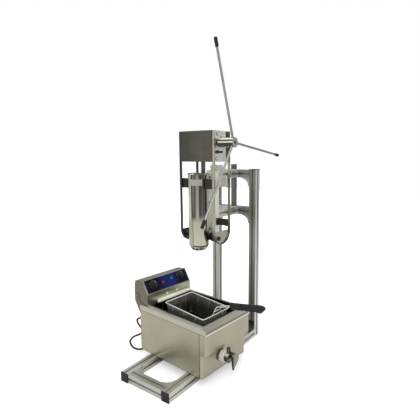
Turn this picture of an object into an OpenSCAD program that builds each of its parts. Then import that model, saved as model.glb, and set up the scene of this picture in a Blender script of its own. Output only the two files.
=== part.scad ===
// Churro maker: a rack-and-pinion dough press hung on a slotted-profile stand,
// with an electric fryer standing on the base of the stand.
// Millimetres. +X runs from the open end of the base to the posts, -Y is the side
// where the operator turns the crank, +Z is up. The origin is the middle of the
// underside of the cross member at the open end.

/* [Stand] */
// Side of the square slotted profile
profile_w = 40; // [38:1:45]
// Mouth of the profile's slot
slot_mouth = 8.2; // [6:0.1:10]
// Depth of the lip round the slot
slot_lip = 4.5; // [3:0.5:5]
// Length of the base, from the open end to the back of the posts, without caps
base_length = 679; // [640:1:760]
// Width of the base over both rails
base_width = 274; // [250:1:300]
// Height of the two posts
post_height = 871; // [850:1:900]
// Clear height between the two beams
beam_gap = 149.5; // [130:0.5:170]
// Length of the arms that carry the press
arm_length = 148; // [140:1:220]
// Length of the upright that the press is bolted to
upright_length = 300; // [280:1:340]
// Thickness of a plastic end cap
cap_thickness = 3; // [2:0.5:5]
// Leg of a corner gusset
gusset_leg = 42; // [34:1:48]
// Side of the square bar behind the beams
back_bar_w = 22; // [18:1:26]

/* [Press frame] */
// Distance between the centres of the two side hoops
hoop_spacing = 188; // [176:1:200]
// Width of the flat bar of a hoop
hoop_bar_w = 12; // [10:1:14]
// Thickness of the flat bar of a hoop
hoop_bar_t = 4; // [3:0.5:5]
// Distance from the front legs to the back legs of a hoop, centre to centre
hoop_depth = 119; // [112:1:126]
// Height of the hoops' top above the floor
hoop_top = 1050; // [1040:1:1080]
// Height of the lowest point of the hoops above the floor
hoop_bottom = 537; // [525:1:550]
// Height of the gearbox
gearbox_height = 136; // [130:1:150]
// Sheet thickness of the press
press_sheet = 3; // [2:0.5:4]
// Height of the saddle band that holds the barrel
saddle_height = 44; // [36:1:50]

/* [Gear] */
// Module of the rack and pinion
gear_module = 2; // [2:1:2]
// Teeth of the pinion
pinion_teeth = 14; // [14:1:15]
// Width of the rack across its teeth
rack_width = 17; // [14:1:18]
// Depth of the rack from tooth tips to back
rack_depth = 12; // [10:0.5:12]
// Length of the rack
rack_length = 477; // [470:1:485]
// Diameter of the pinion shaft
shaft_d = 16; // [14:1:18]
// Radial clearance of the shaft in its bushes
shaft_clearance = 0.05; // [0.02:0.01:0.1]

/* [Crank] */
// Diameter of the crank hub
hub_d = 43; // [38:1:48]
// Length of the crank hub with its collar
hub_length = 84; // [70:1:100]
// Length of a spoke from the shaft axis to its tip
spoke_length = 415; // [350:5:430]
// Diameter of a spoke
spoke_d = 10; // [8:1:12]
// Outward lean of the first spoke in degrees
spoke_lean = 3.5; // [2.3:0.1:4]
// How much less the second spoke leans than the first, in degrees
lean_change = 3.2; // [0:0.1:3.5]
// Angle of the first spoke from +X towards +Z in degrees
spoke_angle = 112.5; // [100:0.5:120]
// Length of a rubber grip
grip_length = 36; // [32:1:60]
// Diameter of a rubber grip
grip_d = 15; // [14:1:18]

/* [Barrel] */
// Outer diameter of the dough barrel
barrel_d = 92; // [90:1:94]
// Wall of the barrel
barrel_wall = 1.75; // [1.5:0.25:2]
// Length of the barrel
barrel_length = 331; // [320:1:340]
// Height of the barrel's lower end above the floor
barrel_bottom = 531; // [525:1:540]
// Offset of the rack's pitch line behind the barrel axis
rack_offset = 31; // [30:0.5:32]
// Thickness of the piston
piston_thickness = 18; // [14:1:24]
// Radial clearance of the piston seal
seal_clearance = 0.08; // [0.02:0.01:0.1]
// Height of the piston's face above the barrel's lower end when fully down
piston_rest = 14; // [10:1:20]

/* [Fryer] */
// Width of the fryer
fryer_w = 286; // [270:1:300]
// Depth of the fryer's lower casing
fryer_d = 393; // [380:1:410]
// Height of the deck above the stand
deck_height = 220; // [210:1:235]
// How far the upper front stands out before the lower front
front_step = 26; // [15:1:32]
// Height of the step in the front
step_height = 103; // [90:1:115]
// Height of the control head above the stand
head_height = 331; // [322:1:345]
// Width of the control head
head_w = 266; // [240:1:268]
// Sheet thickness of the fryer
fryer_sheet = 1.2; // [1:0.1:1.6]
// Width of the oil tank
tank_w = 240; // [226:1:246]
// Length of the oil tank
tank_l = 322; // [300:1:324]
// Depth of the oil tank
tank_depth = 150; // [140:1:151]
// Turn of the fryer on its stand in degrees
fryer_turn = -5.2; // [-8:0.1:0]

/* [Basket] */
// Width of the basket
basket_w = 170; // [150:1:178]
// Length of the basket
basket_l = 243; // [220:1:252]
// Depth of the basket
basket_depth = 96; // [80:1:100]
// Diameter of the rim wire
rim_wire = 6; // [4:0.5:7]
// Diameter of the other wires
basket_wire = 4; // [3:0.5:5]
// Lean of the basket in degrees, back up
basket_lean = 3.8; // [2:0.1:5]
// Diameter of the handle grip
handle_d = 27; // [22:1:29]
// Length of the handle grip
handle_length = 175; // [140:1:185]

/* [Drain] */
// Outer diameter of the drain pipe
drain_d = 21; // [17:1:23]
// Height of the drain pipe above the stand
drain_height = 58; // [50:1:59]
// Length of the valve lever's blade
lever_length = 65; // [50:1:68]

/* [Cord] */
// Diameter of the mains cord
cord_d = 8.5; // [7.5:0.5:9]

/* [Hidden] */
$fn = 48;
eps = 0.01;

// ---- Stand, derived
open_end = -profile_w / 2;
post_x = open_end + base_length - profile_w;
rail_y = base_width / 2 - profile_w / 2;
rail_inner_y = base_width / 2 - profile_w;
rail_length = post_x - open_end;
upper_beam_z = post_height - profile_w;
lower_beam_z = upper_beam_z - beam_gap - profile_w;
upright_x = post_x - arm_length - profile_w;
upright_z = post_height - upright_length;
gusset_web = 5;
arm_gusset_leg = 26;
gusset_w = profile_w - 4;
slot_half = slot_mouth / 2;
slot_inside = profile_w / 4;
slot_floor = profile_w * 0.19;
corner_cut = 1.5;
bolt_head_d = 13;
bolt_head_h = 6;
bracket_t = 6;
bracket_on_arm = 57;
bracket_on_beam = 15;

// ---- Press, derived
hoop_y = hoop_spacing / 2;
hoop_back_x = upright_x + profile_w / 2 - 4;
hoop_front_x = hoop_back_x - hoop_depth;
hoop_mid_x = (hoop_front_x + hoop_back_x) / 2;
hoop_bend_r = hoop_depth / 2;
hoop_bend_z = hoop_bottom + hoop_bend_r + hoop_bar_t / 2;
gearbox_z = hoop_top - gearbox_height;
side_y = hoop_y;
side_front_x = hoop_front_x + hoop_bar_t / 2;
side_back_x = hoop_back_x - 24;
spine_x = upright_x - press_sheet;
spine_wall = 1.5;
pitch_r = gear_module * pinion_teeth / 2;
tooth_up = 0.8 * gear_module;
tooth_down = 1.1 * gear_module;
backlash = 0.12;
pressure_angle = 20;
pinion_x = hoop_front_x + 28;
pinion_z = hoop_top - 53;
rack_pitch_x = pinion_x + pitch_r;
rack_back_x = rack_pitch_x - tooth_up + rack_depth;
barrel_x = rack_pitch_x - rack_offset;
barrel_r = barrel_d / 2;
bore_r = barrel_r - barrel_wall;
barrel_top = barrel_bottom + barrel_length;
piston_z = barrel_bottom + piston_rest;
rack_z = piston_z + piston_thickness;
saddle_z = barrel_top - 68;
pinion_w = rack_width + 2;
bush_d = shaft_d + 8;
bush_out = 10.7;
hub_start_y = -side_y - bush_out - 0.3;
hub_end_y = hub_start_y - hub_length;
spoke_y = hub_end_y + 8;
spoke_in = hub_d / 2 - 8;
spoke_leans = [spoke_lean, spoke_lean - lean_change, spoke_lean];
collar_l = 7;
cradle_t = 4;
cradle_y = barrel_r + press_sheet + 0.4;
pivot_x = hoop_mid_x - 26;
pivot_z = hoop_bend_z - 31;
nozzle_h = 21;
guide_gap = 0.25;

// ---- Fryer, derived (local frame: u across, v to the back, w above the stand)
fryer_x = 119.8;
fryer_y = -184.8;
skirt_h = 28;
deck_front_z = deck_height - 12;
tank_u = (fryer_w - tank_w) / 2;
tank_v = 10;
head_v = tank_v + tank_l + 4;
head_slope_z = head_height - 56;
head_top_v = head_v + 35;
head_hang = 37;
head_back_v = fryer_d + head_hang;
head_back_z = deck_height + 9;
head_low_z = deck_height - 44;
slope_len = norm([head_top_v - head_v, head_height - head_slope_z]);
slope_ang = atan2(head_height - head_slope_z, head_top_v - head_v);
panel_t = 2.5;
corner_r = 12;
seam_v = 13;
drain_v = tank_v + 30;
basket_u = 152;
basket_back = 36.5;
basket_v = tank_v + tank_l - basket_back - basket_l / 2;
basket_z = deck_height + 2;
hook_d = 3.5;
handle_start = [basket_u, -29, deck_height + 52];
handle_rise = 10.5;
drain_u = 121;
stem_v = -40;
mouth_v = -48;
blade_v = -72;
valve_d = 40;
valve_nut_d = 58;
gland_u = 70;
gland_z = 165;
element_z = deck_height - tank_depth + 20;

// ---- Cord: the route's points, chosen by hand, from the gland to the coil
cord_r = cord_d / 2;
lead_route = [
    [226.6, 216.2, 205], [227.4, 225, 205], [227.6, 235, 204], [224, 244, 199], [216, 249, 190],
    [207, 251, 179], [198, 251, 170], [188, 251, 167], [179, 252, 167], [174, 252, 163],
    [175, 252, 157], [178, 252, 147], [183, 251, 136], [190, 250, 125], [197, 250, 112],
    [200, 250, 99], [196, 250, 89], [185, 251, 86], [170, 252, 87], [157, 253, 88],
    [145, 254, 86], [136, 255, 81], [131, 256, 74], [131, 256, 66], [134, 255, 56],
    [140, 255, 45], [148, 254, 34], [159, 253, 24], [171, 252, 16], [184, 251, 10],
    [199, 250, 6], [215, 249, 4.25], [232, 248, 4.25], [255, 248, 4.25], [280, 248, 4.25],
    [305, 248, 4.25], [328, 248, 4.25], [345, 248, 4.25]
];
coil_x = 345;
coil_r = 52;
coil_y = 248 + coil_r;
coil_step = cord_d + 0.6;
coil_turns = 3.25;
coil_reverse = 1.75;
plug_r = 17;

// ================= Shared shapes =================

// Outline of the slotted profile; the underside can be a closed face.
module profile_outline(closed_below = false) {
    h = profile_w / 2;
    c = corner_cut;
    difference() {
        polygon([
            [h - c, h], [c - h, h], [-h, h - c], [-h, c - h],
            [c - h, -h], [h - c, -h], [h, c - h], [h, h - c]
        ]);
        for (side = closed_below ? [0, 90, 270] : [0, 90, 180, 270])
            rotate(side) slot_outline();
    }
}

// One T slot in the upper side of the profile.
module slot_outline() {
    h = profile_w / 2;
    lip = h - slot_lip;
    polygon([
        [-slot_half, h + 1], [-slot_half, lip], [-slot_inside, lip], [-slot_inside, lip - 2.5],
        [-slot_inside / 2, slot_floor], [slot_inside / 2, slot_floor],
        [slot_inside, lip - 2.5], [slot_inside, lip], [slot_half, lip], [slot_half, h + 1]
    ]);
}

// A length of profile along X, Y or Z, from the middle of one end face.
module profile_x(length, closed = false)
    rotate([90, 0, 90]) linear_extrude(length) profile_outline(closed);
module profile_y(length, closed = false)
    translate([0, length, 0]) rotate([90, 0, 0]) linear_extrude(length) profile_outline(closed);
module profile_z(length)
    linear_extrude(length) profile_outline();

// Corner gusset: a square corner less a quarter round, legs along +X and +Y, centred in Z.
module gusset(leg = gusset_leg, width = gusset_w) {
    translate([0, 0, -width / 2]) linear_extrude(width) difference() {
        square(leg);
        translate([leg, leg]) circle(leg - gusset_web);
    }
}

// Socket-head bolt head with its base on the origin, pointing to +Z.
module bolt_head(d = bolt_head_d, h = bolt_head_h) {
    difference() {
        cylinder(d = d, h = h);
        translate([0, 0, h / 2]) cylinder(d = d * 0.5, h = h, $fn = 6);
    }
}

// A flat shape drawn in X and Z, made thick along Y from y0 towards -Y.
module plate_xz(y0, thickness)
    translate([0, y0, 0]) rotate([90, 0, 0]) linear_extrude(thickness) children();

module both_sides() {
    children();
    mirror([0, 1, 0]) children();
}

module fryer_frame()
    translate([fryer_x, fryer_y, profile_w]) rotate(fryer_turn) children();

// A shape drawn in (v, w) made wide along u from u0.
module across(u0, width)
    translate([u0, 0, 0]) rotate([90, 0, 90]) linear_extrude(width) children();

// Round rod between two points.
module rod(a, b, d) {
    v = b - a;
    translate(a) rotate([0, acos(v[2] / norm(v)), atan2(v[1], v[0])]) cylinder(d = d, h = norm(v));
}

// ================= Tube along a route =================

function unit(v) = v / norm(v);
function headings(p) = [
    for (i = [0:len(p) - 1]) unit(p[min(i + 1, len(p) - 1)] - p[max(i - 1, 0)])
];
function carried(u, t) = unit(u - (u * t) * t);
function side_vectors(t, i, u) =
    i == len(t) ? [] : let (s = carried(u, t[i])) concat([s], side_vectors(t, i + 1, s));

module tube(path, r, sides) {
    t = headings(path);
    s = side_vectors(t, 0, [0.31, 0.17, 0.93]);
    last = len(path) - 1;
    points = [
        for (i = [0:last], k = [0:sides - 1])
            let (a = 360 * k / sides) path[i] + r * (cos(a) * s[i] + sin(a) * cross(t[i], s[i]))
    ];
    walls = [
        for (i = [0:last - 1], k = [0:sides - 1], half = [0, 1])
            let (a = i * sides + k, b = i * sides + (k + 1) % sides)
                half == 0 ? [a, a + sides, b] : [b, a + sides, b + sides]
    ];
    ends = [
        [for (k = [0:sides - 1]) k],
        [for (k = [0:sides - 1]) last * sides + sides - 1 - k]
    ];
    polyhedron(points, concat(walls, ends));
}

// ================= Stand =================

module base_rails()
    color("silver") both_sides()
        translate([open_end, -rail_y, profile_w / 2]) profile_x(rail_length, closed = true);

module base_crosses()
    color("silver") for (x = [0, post_x + profile_w / 2])
        translate([x, -rail_inner_y, profile_w / 2]) profile_y(2 * rail_inner_y, closed = true);

module posts()
    color("silver") both_sides()
        translate([post_x + profile_w / 2, -rail_y, 0]) profile_z(post_height);

module beam(z)
    color("silver") translate([post_x + profile_w / 2, -rail_inner_y, z + profile_w / 2])
        profile_y(2 * rail_inner_y);
module upper_beam() beam(upper_beam_z);
module lower_beam() beam(lower_beam_z);

module arm(z)
    color("silver") translate([post_x - arm_length, 0, z + profile_w / 2]) profile_x(arm_length);
module upper_arm() arm(upper_beam_z);
module lower_arm() arm(lower_beam_z);

module press_upright()
    color("silver") translate([upright_x + profile_w / 2, 0, upright_z]) profile_z(upright_length);

// Square bar bolted behind the beams, a little to the rear of the middle.
module back_bar()
    color("dimgray")
        translate([post_x + profile_w, back_bar_w * 0.73, lower_beam_z + 4])
            cube([back_bar_w, back_bar_w, post_height - lower_beam_z + 22]);

module end_caps() {
    h = profile_w / 2;
    color("black") both_sides() {
        translate([open_end - cap_thickness, -rail_y - h, 0])
            cube([cap_thickness, profile_w, profile_w]);
        translate([post_x, -rail_y - h, post_height])
            cube([profile_w, profile_w, cap_thickness]);
    }
}

module corner_gussets() {
    beam_x = post_x + profile_w / 2;
    color("gainsboro") {
        both_sides() {
            translate([profile_w / 2, -rail_inner_y, profile_w / 2]) gusset();
            translate([post_x, -rail_inner_y, profile_w / 2]) rotate(90) gusset();
            translate([post_x, -rail_y, profile_w]) rotate([90, 0, 0]) mirror([1, 0, 0]) gusset();
            for (z = [upper_beam_z, lower_beam_z])
                translate([beam_x, -rail_inner_y, z]) rotate([90, 0, 90]) mirror([0, 1, 0]) gusset();
        }
        for (z = [upper_beam_z, lower_beam_z])
            translate([upright_x + profile_w, 0, z]) rotate([90, 0, 0]) mirror([0, 1, 0])
                gusset(arm_gusset_leg);
    }
}

// Angle brackets between the arms and the beams, one each side of each arm.
module arm_brackets()
    color("gainsboro") both_sides() for (z = [upper_beam_z, lower_beam_z])
        translate([post_x, -profile_w / 2, z + profile_w / 2 - gusset_w / 2])
            linear_extrude(gusset_w) polygon([
                [0, 0], [-bracket_on_arm, 0], [-bracket_on_arm, -bracket_t],
                [-bracket_t - 4, -bracket_t], [-bracket_t, -bracket_t - 4],
                [-bracket_t, -bracket_on_beam], [0, -bracket_on_beam]
            ]);

module stand_bolts()
    color("dimgray") both_sides() for (z = [upper_beam_z, lower_beam_z])
        translate([post_x, -profile_w / 2, z + profile_w / 2]) {
            for (x = [16, 40])
                translate([-x, -bracket_t, 0]) rotate([90, 0, 0]) bolt_head();
            translate([-bracket_on_arm - 22, 0, 0]) rotate([90, 0, 0]) {
                cylinder(d = 17, h = 1.6);
                translate([0, 0, 1.6]) bolt_head();
            }
        }

// ================= Press frame =================

// One hoop drawn in X and Z: two straight legs and a half-round bottom.
module hoop_outline() {
    difference() {
        union() {
            translate([hoop_mid_x, hoop_bend_z]) circle(hoop_bend_r + hoop_bar_t / 2);
            translate([hoop_front_x - hoop_bar_t / 2, hoop_bend_z])
                square([hoop_depth + hoop_bar_t, hoop_top - hoop_bend_z]);
        }
        translate([hoop_mid_x, hoop_bend_z]) circle(hoop_bend_r - hoop_bar_t / 2);
        translate([hoop_front_x + hoop_bar_t / 2, hoop_bend_z])
            square([hoop_depth - hoop_bar_t, hoop_top - hoop_bend_z + 1]);
    }
}

module side_hoops()
    color("silver") for (y = [hoop_y, -hoop_y])
        plate_xz(y + hoop_bar_w / 2, hoop_bar_w) hoop_outline();

// Flat front cover of the gearbox.
module gearbox_cover() {
    half = hoop_y - hoop_bar_w / 2 + 1;
    color("dimgray") translate([hoop_front_x - hoop_bar_t / 2 - press_sheet, -half, gearbox_z])
        cube([press_sheet, 2 * half, gearbox_height]);
}

// Slot with square ends, tilted about its middle.
module tilted_slot(x, z, angle, length, width)
    translate([x, z]) rotate(angle) square([length, width], center = true);

module gearbox_sides()
    color("gainsboro") both_sides()
        plate_xz(-side_y + press_sheet, press_sheet) difference() {
            translate([side_front_x, gearbox_z])
                square([side_back_x - side_front_x, gearbox_height]);
            translate([pinion_x, pinion_z]) {
                circle(d = bush_d);
                tilted_slot(-1, 37, -50, 20, 5);
                tilted_slot(34, 25, -38, 22, 5);
                tilted_slot(10, -40, 0, 66, 9);
            }
            translate([pinion_x - 4, pinion_z - 68]) difference() {
                circle(9);
                circle(4.5);
                translate([0, -10]) square(20);
            }
        }

// Top and back of the gearbox in one bent sheet, with the slot the rack rises through.
module gearbox_shell() {
    y_in = side_y - press_sheet;
    front = side_front_x;
    back = hoop_back_x - hoop_bar_t / 2;
    slot_w = rack_width + 6;
    color("gainsboro") {
        difference() {
            translate([front, -y_in, hoop_top - press_sheet])
                cube([back - front, 2 * y_in, press_sheet]);
            translate([rack_pitch_x - tooth_up - 4, -slot_w / 2, hoop_top - press_sheet - 1])
                cube([rack_depth + 8, slot_w, press_sheet + 2]);
        }
        translate([back - press_sheet, -y_in, gearbox_z])
            cube([press_sheet, 2 * y_in, gearbox_height - press_sheet]);
    }
}

// Two guide blocks that hold the back and the sides of the rack.
module rack_guides() {
    back = hoop_back_x - hoop_bar_t / 2 - press_sheet;
    front = rack_back_x - 7;
    half = rack_width / 2 + 7;
    color("dimgray") for (z = [gearbox_z + 14, hoop_top - press_sheet - 24])
        difference() {
            translate([front, -half, z]) cube([back - front, 2 * half, 18]);
            translate([front - 1, -rack_width / 2 - guide_gap, z - 1])
                cube([rack_back_x + guide_gap - front + 1, rack_width + 2 * guide_gap, 20]);
        }
}

// Flanged bushes in the two side plates.
module shaft_bushes()
    color("goldenrod") both_sides()
        translate([pinion_x, -side_y, pinion_z]) rotate([90, 0, 0]) difference() {
            union() {
                translate([0, 0, -press_sheet - 6]) cylinder(d = bush_d, h = press_sheet + 6);
                cylinder(d = bush_d + 4, h = bush_out);
            }
            translate([0, 0, -press_sheet - 7])
                cylinder(r = shaft_d / 2 + shaft_clearance, h = press_sheet + bush_out + 8);
        }

// Band that runs from the front legs round the back of the barrel.
module saddle_band() {
    inside = barrel_r + 0.2;
    outside = inside + press_sheet;
    tab_x = hoop_front_x + hoop_bar_t / 2;
    reach = hoop_y + hoop_bar_w / 2;
    color("gray") translate([0, 0, saddle_z]) linear_extrude(saddle_height) difference() {
        union() {
            translate([barrel_x, 0]) circle(outside);
            translate([tab_x, -reach]) square([press_sheet, 2 * reach]);
        }
        translate([barrel_x, 0]) circle(inside);
        translate([tab_x - 100, -outside]) square([100, 2 * outside]);
    }
}

// Stepped tabs that tie the back legs to the upright, an upper and a lower pair.
module back_tabs() {
    tab_t = 4;
    leg_back = hoop_back_x + hoop_bar_t / 2;
    plate_x = upright_x + 27;
    near = profile_w / 2 + spine_wall;
    step_y = hoop_y - 18;
    color("gray") both_sides() for (level = [[saddle_z, saddle_height], [upright_z + 38, 33]])
        translate([0, 0, level[0]]) linear_extrude(level[1]) {
            translate([plate_x, near]) square([tab_t, step_y - near]);
            translate([leg_back, step_y - tab_t]) square([plate_x + tab_t - leg_back, tab_t]);
            translate([leg_back, step_y - tab_t]) square([tab_t, hoop_y - step_y + tab_t + 4]);
            translate([plate_x - 14, near]) square([14 + tab_t, tab_t]);
        }
}

// Half-round plates that fill the bottoms of the hoops and carry the barrel's pivot.
module hoop_webs()
    color("gainsboro") both_sides() plate_xz(-side_y + press_sheet, press_sheet) difference() {
        translate([hoop_mid_x, hoop_bend_z]) circle(hoop_bend_r - hoop_bar_t / 2);
        translate([hoop_front_x - 1, hoop_bend_z]) square([hoop_depth + 2, hoop_depth]);
        translate([pivot_x, pivot_z]) circle(d = 10.4);
    }

// Channel wrapped round the front and the sides of the upright.
module spine_plate()
    color("tan") translate([spine_x, 0, upright_z]) {
        half = profile_w / 2 + spine_wall;
        translate([0, -half, 0]) cube([press_sheet, 2 * half, upright_length]);
        both_sides() translate([0, -half, 0]) cube([press_sheet + 30, spine_wall, upright_length]);
    }

// Block on top of the upright and the strip that ties it to the back of the gearbox.
module head_bracket() {
    strip_t = 3;
    front_of_shell = hoop_back_x - hoop_bar_t / 2 - press_sheet;
    color("darkgray") {
        translate([upright_x, -profile_w / 2, post_height]) cube([71, profile_w, 26]);
        translate([upright_x, -profile_w / 2, post_height])
            cube([front_of_shell - upright_x, strip_t, gearbox_z + 60 - post_height]);
    }
}

// ================= Barrel =================

module barrel()
    color("tan") translate([barrel_x, 0, barrel_bottom]) rotate_extrude() {
        difference() {
            polygon([
                [0, 0], [barrel_r - 1, 0], [barrel_r, 1], [barrel_r, barrel_length - 6],
                [barrel_r + 4, barrel_length - 2], [barrel_r + 4, barrel_length], [0, barrel_length]
            ]);
            translate([-1, -1]) square([bore_r - 6, 5]);
            translate([-1, 3]) square([bore_r + 1, barrel_length]);
        }
    }

// Two side bars on the barrel that widen below into curved plates with the pivot, and
// the blocks that tie them to the barrel.
module barrel_cradle() {
    bar_x = barrel_x - 4;
    bar_w = 10;
    bar_top = barrel_top - 6;
    plate_r = hoop_mid_x - bar_x;
    plate_z = hoop_bend_z - 8;
    color("tan") {
        both_sides() plate_xz(-cradle_y, cradle_t) {
            translate([bar_x, hoop_bend_z]) square([bar_w, bar_top - hoop_bend_z]);
            intersection() {
                translate([hoop_mid_x, hoop_bend_z]) circle(plate_r);
                union() {
                    translate([bar_x, plate_z - plate_r]) square([plate_r + 4, plate_r]);
                    translate([bar_x, plate_z]) square([bar_w, 10]);
                }
            }
        }
        difference() {
            union() {
                translate([barrel_x + barrel_r - 10, -cradle_y, pivot_z - 16]) cube([16, 2 * cradle_y, 12]);
                translate([bar_x, -cradle_y, bar_top - 14]) cube([bar_w, 2 * cradle_y, 14]);
            }
            translate([barrel_x, 0, barrel_bottom]) cylinder(r = barrel_r + 0.1, h = barrel_length);
        }
    }
}

module pivot_pins() {
    inner = cradle_y + cradle_t;
    color("dimgray") both_sides() translate([pivot_x, -side_y, pivot_z]) rotate([90, 0, 0]) {
        translate([0, 0, inner - side_y]) cylinder(d = 10, h = side_y - inner);
        cylinder(d = 20, h = 7, $fn = 6);
    }
}

module press_bolts()
    color("dimgray") {
        for (z = [upright_z + 22, upright_z + 150, post_height - 30])
            translate([spine_x, 0, z]) rotate([0, -90, 0]) bolt_head();
        translate([pinion_x + 1, 0, pinion_z - 40]) both_sides()
            translate([0, -side_y, 0]) rotate([90, 0, 0]) cylinder(d = 17, h = 6, $fn = 6);
    }

// ================= Gear and crank =================

base_r = pitch_r * cos(pressure_angle);
tip_r = pitch_r + tooth_up;
root_r = pitch_r - tooth_down;
function involute_angle(r) = let (k = sqrt(pow(r / base_r, 2) - 1)) k * 180 / PI - atan(k);
function flank_angle(r) =
    90 / pinion_teeth - backlash / pitch_r * 180 / PI
    + involute_angle(pitch_r) - involute_angle(max(r, base_r));
function polar(r, a) = [r * cos(a), r * sin(a)];

// Pinion drawn with one tooth on the +X axis.
module pinion_outline() {
    radii = [root_r, for (i = [0:4]) base_r + (tip_r - base_r) * i / 4];
    n = len(radii);
    polygon([
        for (k = [0:pinion_teeth - 1], i = [0:2 * n - 1])
            let (mid = 360 * k / pinion_teeth, r = i < n ? radii[i] : radii[2 * n - 1 - i])
                polar(r, mid + (i < n ? -1 : 1) * flank_angle(r))
    ]);
}

module pinion_shaft()
    color("silver") translate([pinion_x, 0, pinion_z]) {
        translate([0, pinion_w / 2, 0]) rotate([90, 0, 0]) linear_extrude(pinion_w) pinion_outline();
        translate([0, side_y + bush_out, 0]) rotate([90, 0, 0])
            cylinder(d = shaft_d, h = side_y + bush_out - pinion_w / 2 + eps);
        translate([0, -pinion_w / 2 + eps, 0]) rotate([90, 0, 0])
            cylinder(d = shaft_d, h = -pinion_w / 2 - hub_end_y + eps);
    }

module crank_hub()
    color("silver") translate([pinion_x, hub_start_y, pinion_z]) rotate([90, 0, 0]) difference() {
        union() {
            cylinder(d = hub_d - 5, h = collar_l);
            translate([0, 0, collar_l]) cylinder(d = hub_d, h = hub_length - collar_l);
        }
        translate([0, 0, -1]) cylinder(d = shaft_d, h = hub_length + 2);
        for (k = [0:2]) rotate(spoke_angle - 120 * k)
            translate([spoke_in, 0, hub_length - 8]) rotate([0, 90 - spoke_leans[k], 0])
                cylinder(d = spoke_d, h = hub_d);
    }

module on_spokes()
    translate([pinion_x, spoke_y, pinion_z]) rotate([90, 0, 0])
        for (k = [0:2]) rotate(spoke_angle - 120 * k)
            translate([spoke_in, 0, 0]) rotate([0, 90 - spoke_leans[k], 0]) children();

module crank_spokes()
    color("silver") on_spokes() cylinder(d = spoke_d, h = spoke_length - spoke_in - 4);

module spoke_grips()
    color("black") on_spokes() translate([0, 0, spoke_length - spoke_in - grip_length])
        difference() {
            cylinder(d = grip_d, h = grip_length);
            translate([0, 0, -1]) cylinder(d = spoke_d, h = grip_length - 3);
        }

// ================= Rack and piston =================

// Rack drawn in (X, Z): teeth towards -X with a gap level with the shaft.
module rack_outline() {
    pitch = PI * gear_module;
    lean = tan(pressure_angle);
    tip = rack_pitch_x - tooth_up;
    root = rack_pitch_x + tooth_down;
    half_tip = pitch / 4 - backlash - tooth_up * lean;
    half_root = pitch / 4 - backlash + tooth_down * lean;
    first = ceil((rack_z - pinion_z) / pitch + 1);
    last = floor((rack_z + rack_length - pinion_z) / pitch - 1);
    polygon(concat(
        [[rack_back_x, rack_z], [root, rack_z]],
        [
            for (k = [first:last], p = [[root, -half_root], [tip, -half_tip], [tip, half_tip], [root, half_root]])
                [p[0], pinion_z + (k + 0.5) * pitch + p[1]]
        ],
        [[root, rack_z + rack_length], [rack_back_x, rack_z + rack_length]]
    ));
}

module rack()
    color("dimgray") plate_xz(rack_width / 2, rack_width) rack_outline();

module piston()
    color("gainsboro") translate([barrel_x, 0, piston_z]) rotate_extrude()
        difference() {
            square([bore_r - 1, piston_thickness]);
            translate([bore_r - 4, piston_thickness / 2 - 4]) square([10, 8]);
        }

module piston_seal()
    color("black") translate([barrel_x, 0, piston_z + piston_thickness / 2 - 4]) rotate_extrude()
        translate([bore_r - 4, 0]) square([4 - seal_clearance, 8]);

// ================= Nozzle =================

module nozzle_nut() {
    rim = barrel_r - 4;
    color("gainsboro") translate([barrel_x, 0, barrel_bottom - nozzle_h]) difference() {
        rotate_extrude() polygon([
            [14, 0], [rim - 12, 0], [rim - 7, 4], [rim - 1, 13], [rim, 14], [rim, nozzle_h - 0.2],
            [rim - 8, nozzle_h - 0.2], [rim - 8, 12.4], [14, 12.4]
        ]);
        for (a = [45:90:315]) rotate(a) translate([rim - 12, -5, -1]) cube([12, 10, 10]);
    }
}

// Star-holed plate that shapes the dough.
module nozzle_plate()
    color("silver") translate([barrel_x, 0, barrel_bottom - nozzle_h + 12.4]) linear_extrude(4)
        difference() {
            circle(barrel_r - 12.4);
            polygon([for (i = [0:15]) polar(i % 2 == 0 ? 8 : 5, 22.5 * i)]);
        }

// ================= Fryer casing =================

// Left, back and right walls of the casing.
module fryer_casing()
    color("tan") fryer_frame() difference() {
        translate([0, seam_v + 0.8, 0]) cube([fryer_w, fryer_d - seam_v - 0.8, deck_height - skirt_h]);
        translate([fryer_sheet, 0, fryer_sheet])
            cube([fryer_w - 2 * fryer_sheet, fryer_d - fryer_sheet, deck_height]);
        translate([fryer_sheet + 12, 0, -1])
            cube([fryer_w - 2 * fryer_sheet - 24, fryer_d - fryer_sheet - 12, 10]);
    }

// Plan of the front from one v to the seam, with round front corners.
module front_plan(v0, wall = 0) {
    r = corner_r - wall;
    end_v = seam_v + (wall > 0 ? 1 : 0);
    intersection() {
        translate([wall, v0 + wall]) square([fryer_w - 2 * wall, end_v - v0 - wall]);
        union() {
            translate([wall, v0 + wall + r]) square([fryer_w - 2 * wall, 60]);
            translate([wall + r, v0 + wall]) square([fryer_w - 2 * wall - 2 * r, r + 1]);
            for (u = [wall + r, fryer_w - wall - r]) translate([u, v0 + wall + r]) circle(r);
        }
    }
}

// Front panel: lower face, a slanted step, and the upper face that stands out.
module fryer_front() {
    top = deck_height - skirt_h;
    module solid(wall) {
        translate([0, 0, -wall]) linear_extrude(step_height - 6 + wall) front_plan(0, wall);
        intersection() {
            linear_extrude(top + wall) front_plan(-front_step, wall);
            across(wall, fryer_w - 2 * wall) polygon([
                [wall, step_height - 6 - eps], [wall - front_step, step_height + 6],
                [wall - front_step, top + wall], [seam_v, top + wall], [seam_v, step_height - 6 - eps]
            ]);
        }
    }
    color("tan") fryer_frame() difference() {
        solid(0);
        solid(fryer_sheet);
        translate([drain_u, 20, drain_height]) rotate([90, 0, 0]) cylinder(d = drain_d + 1, h = 60);
    }
}

module fryer_floor()
    color("gray") fryer_frame() translate([fryer_sheet + 1, seam_v + 2, fryer_sheet])
        cube([fryer_w - 2 * fryer_sheet - 2, fryer_d - seam_v - 4 - fryer_sheet, fryer_sheet]);

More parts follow.
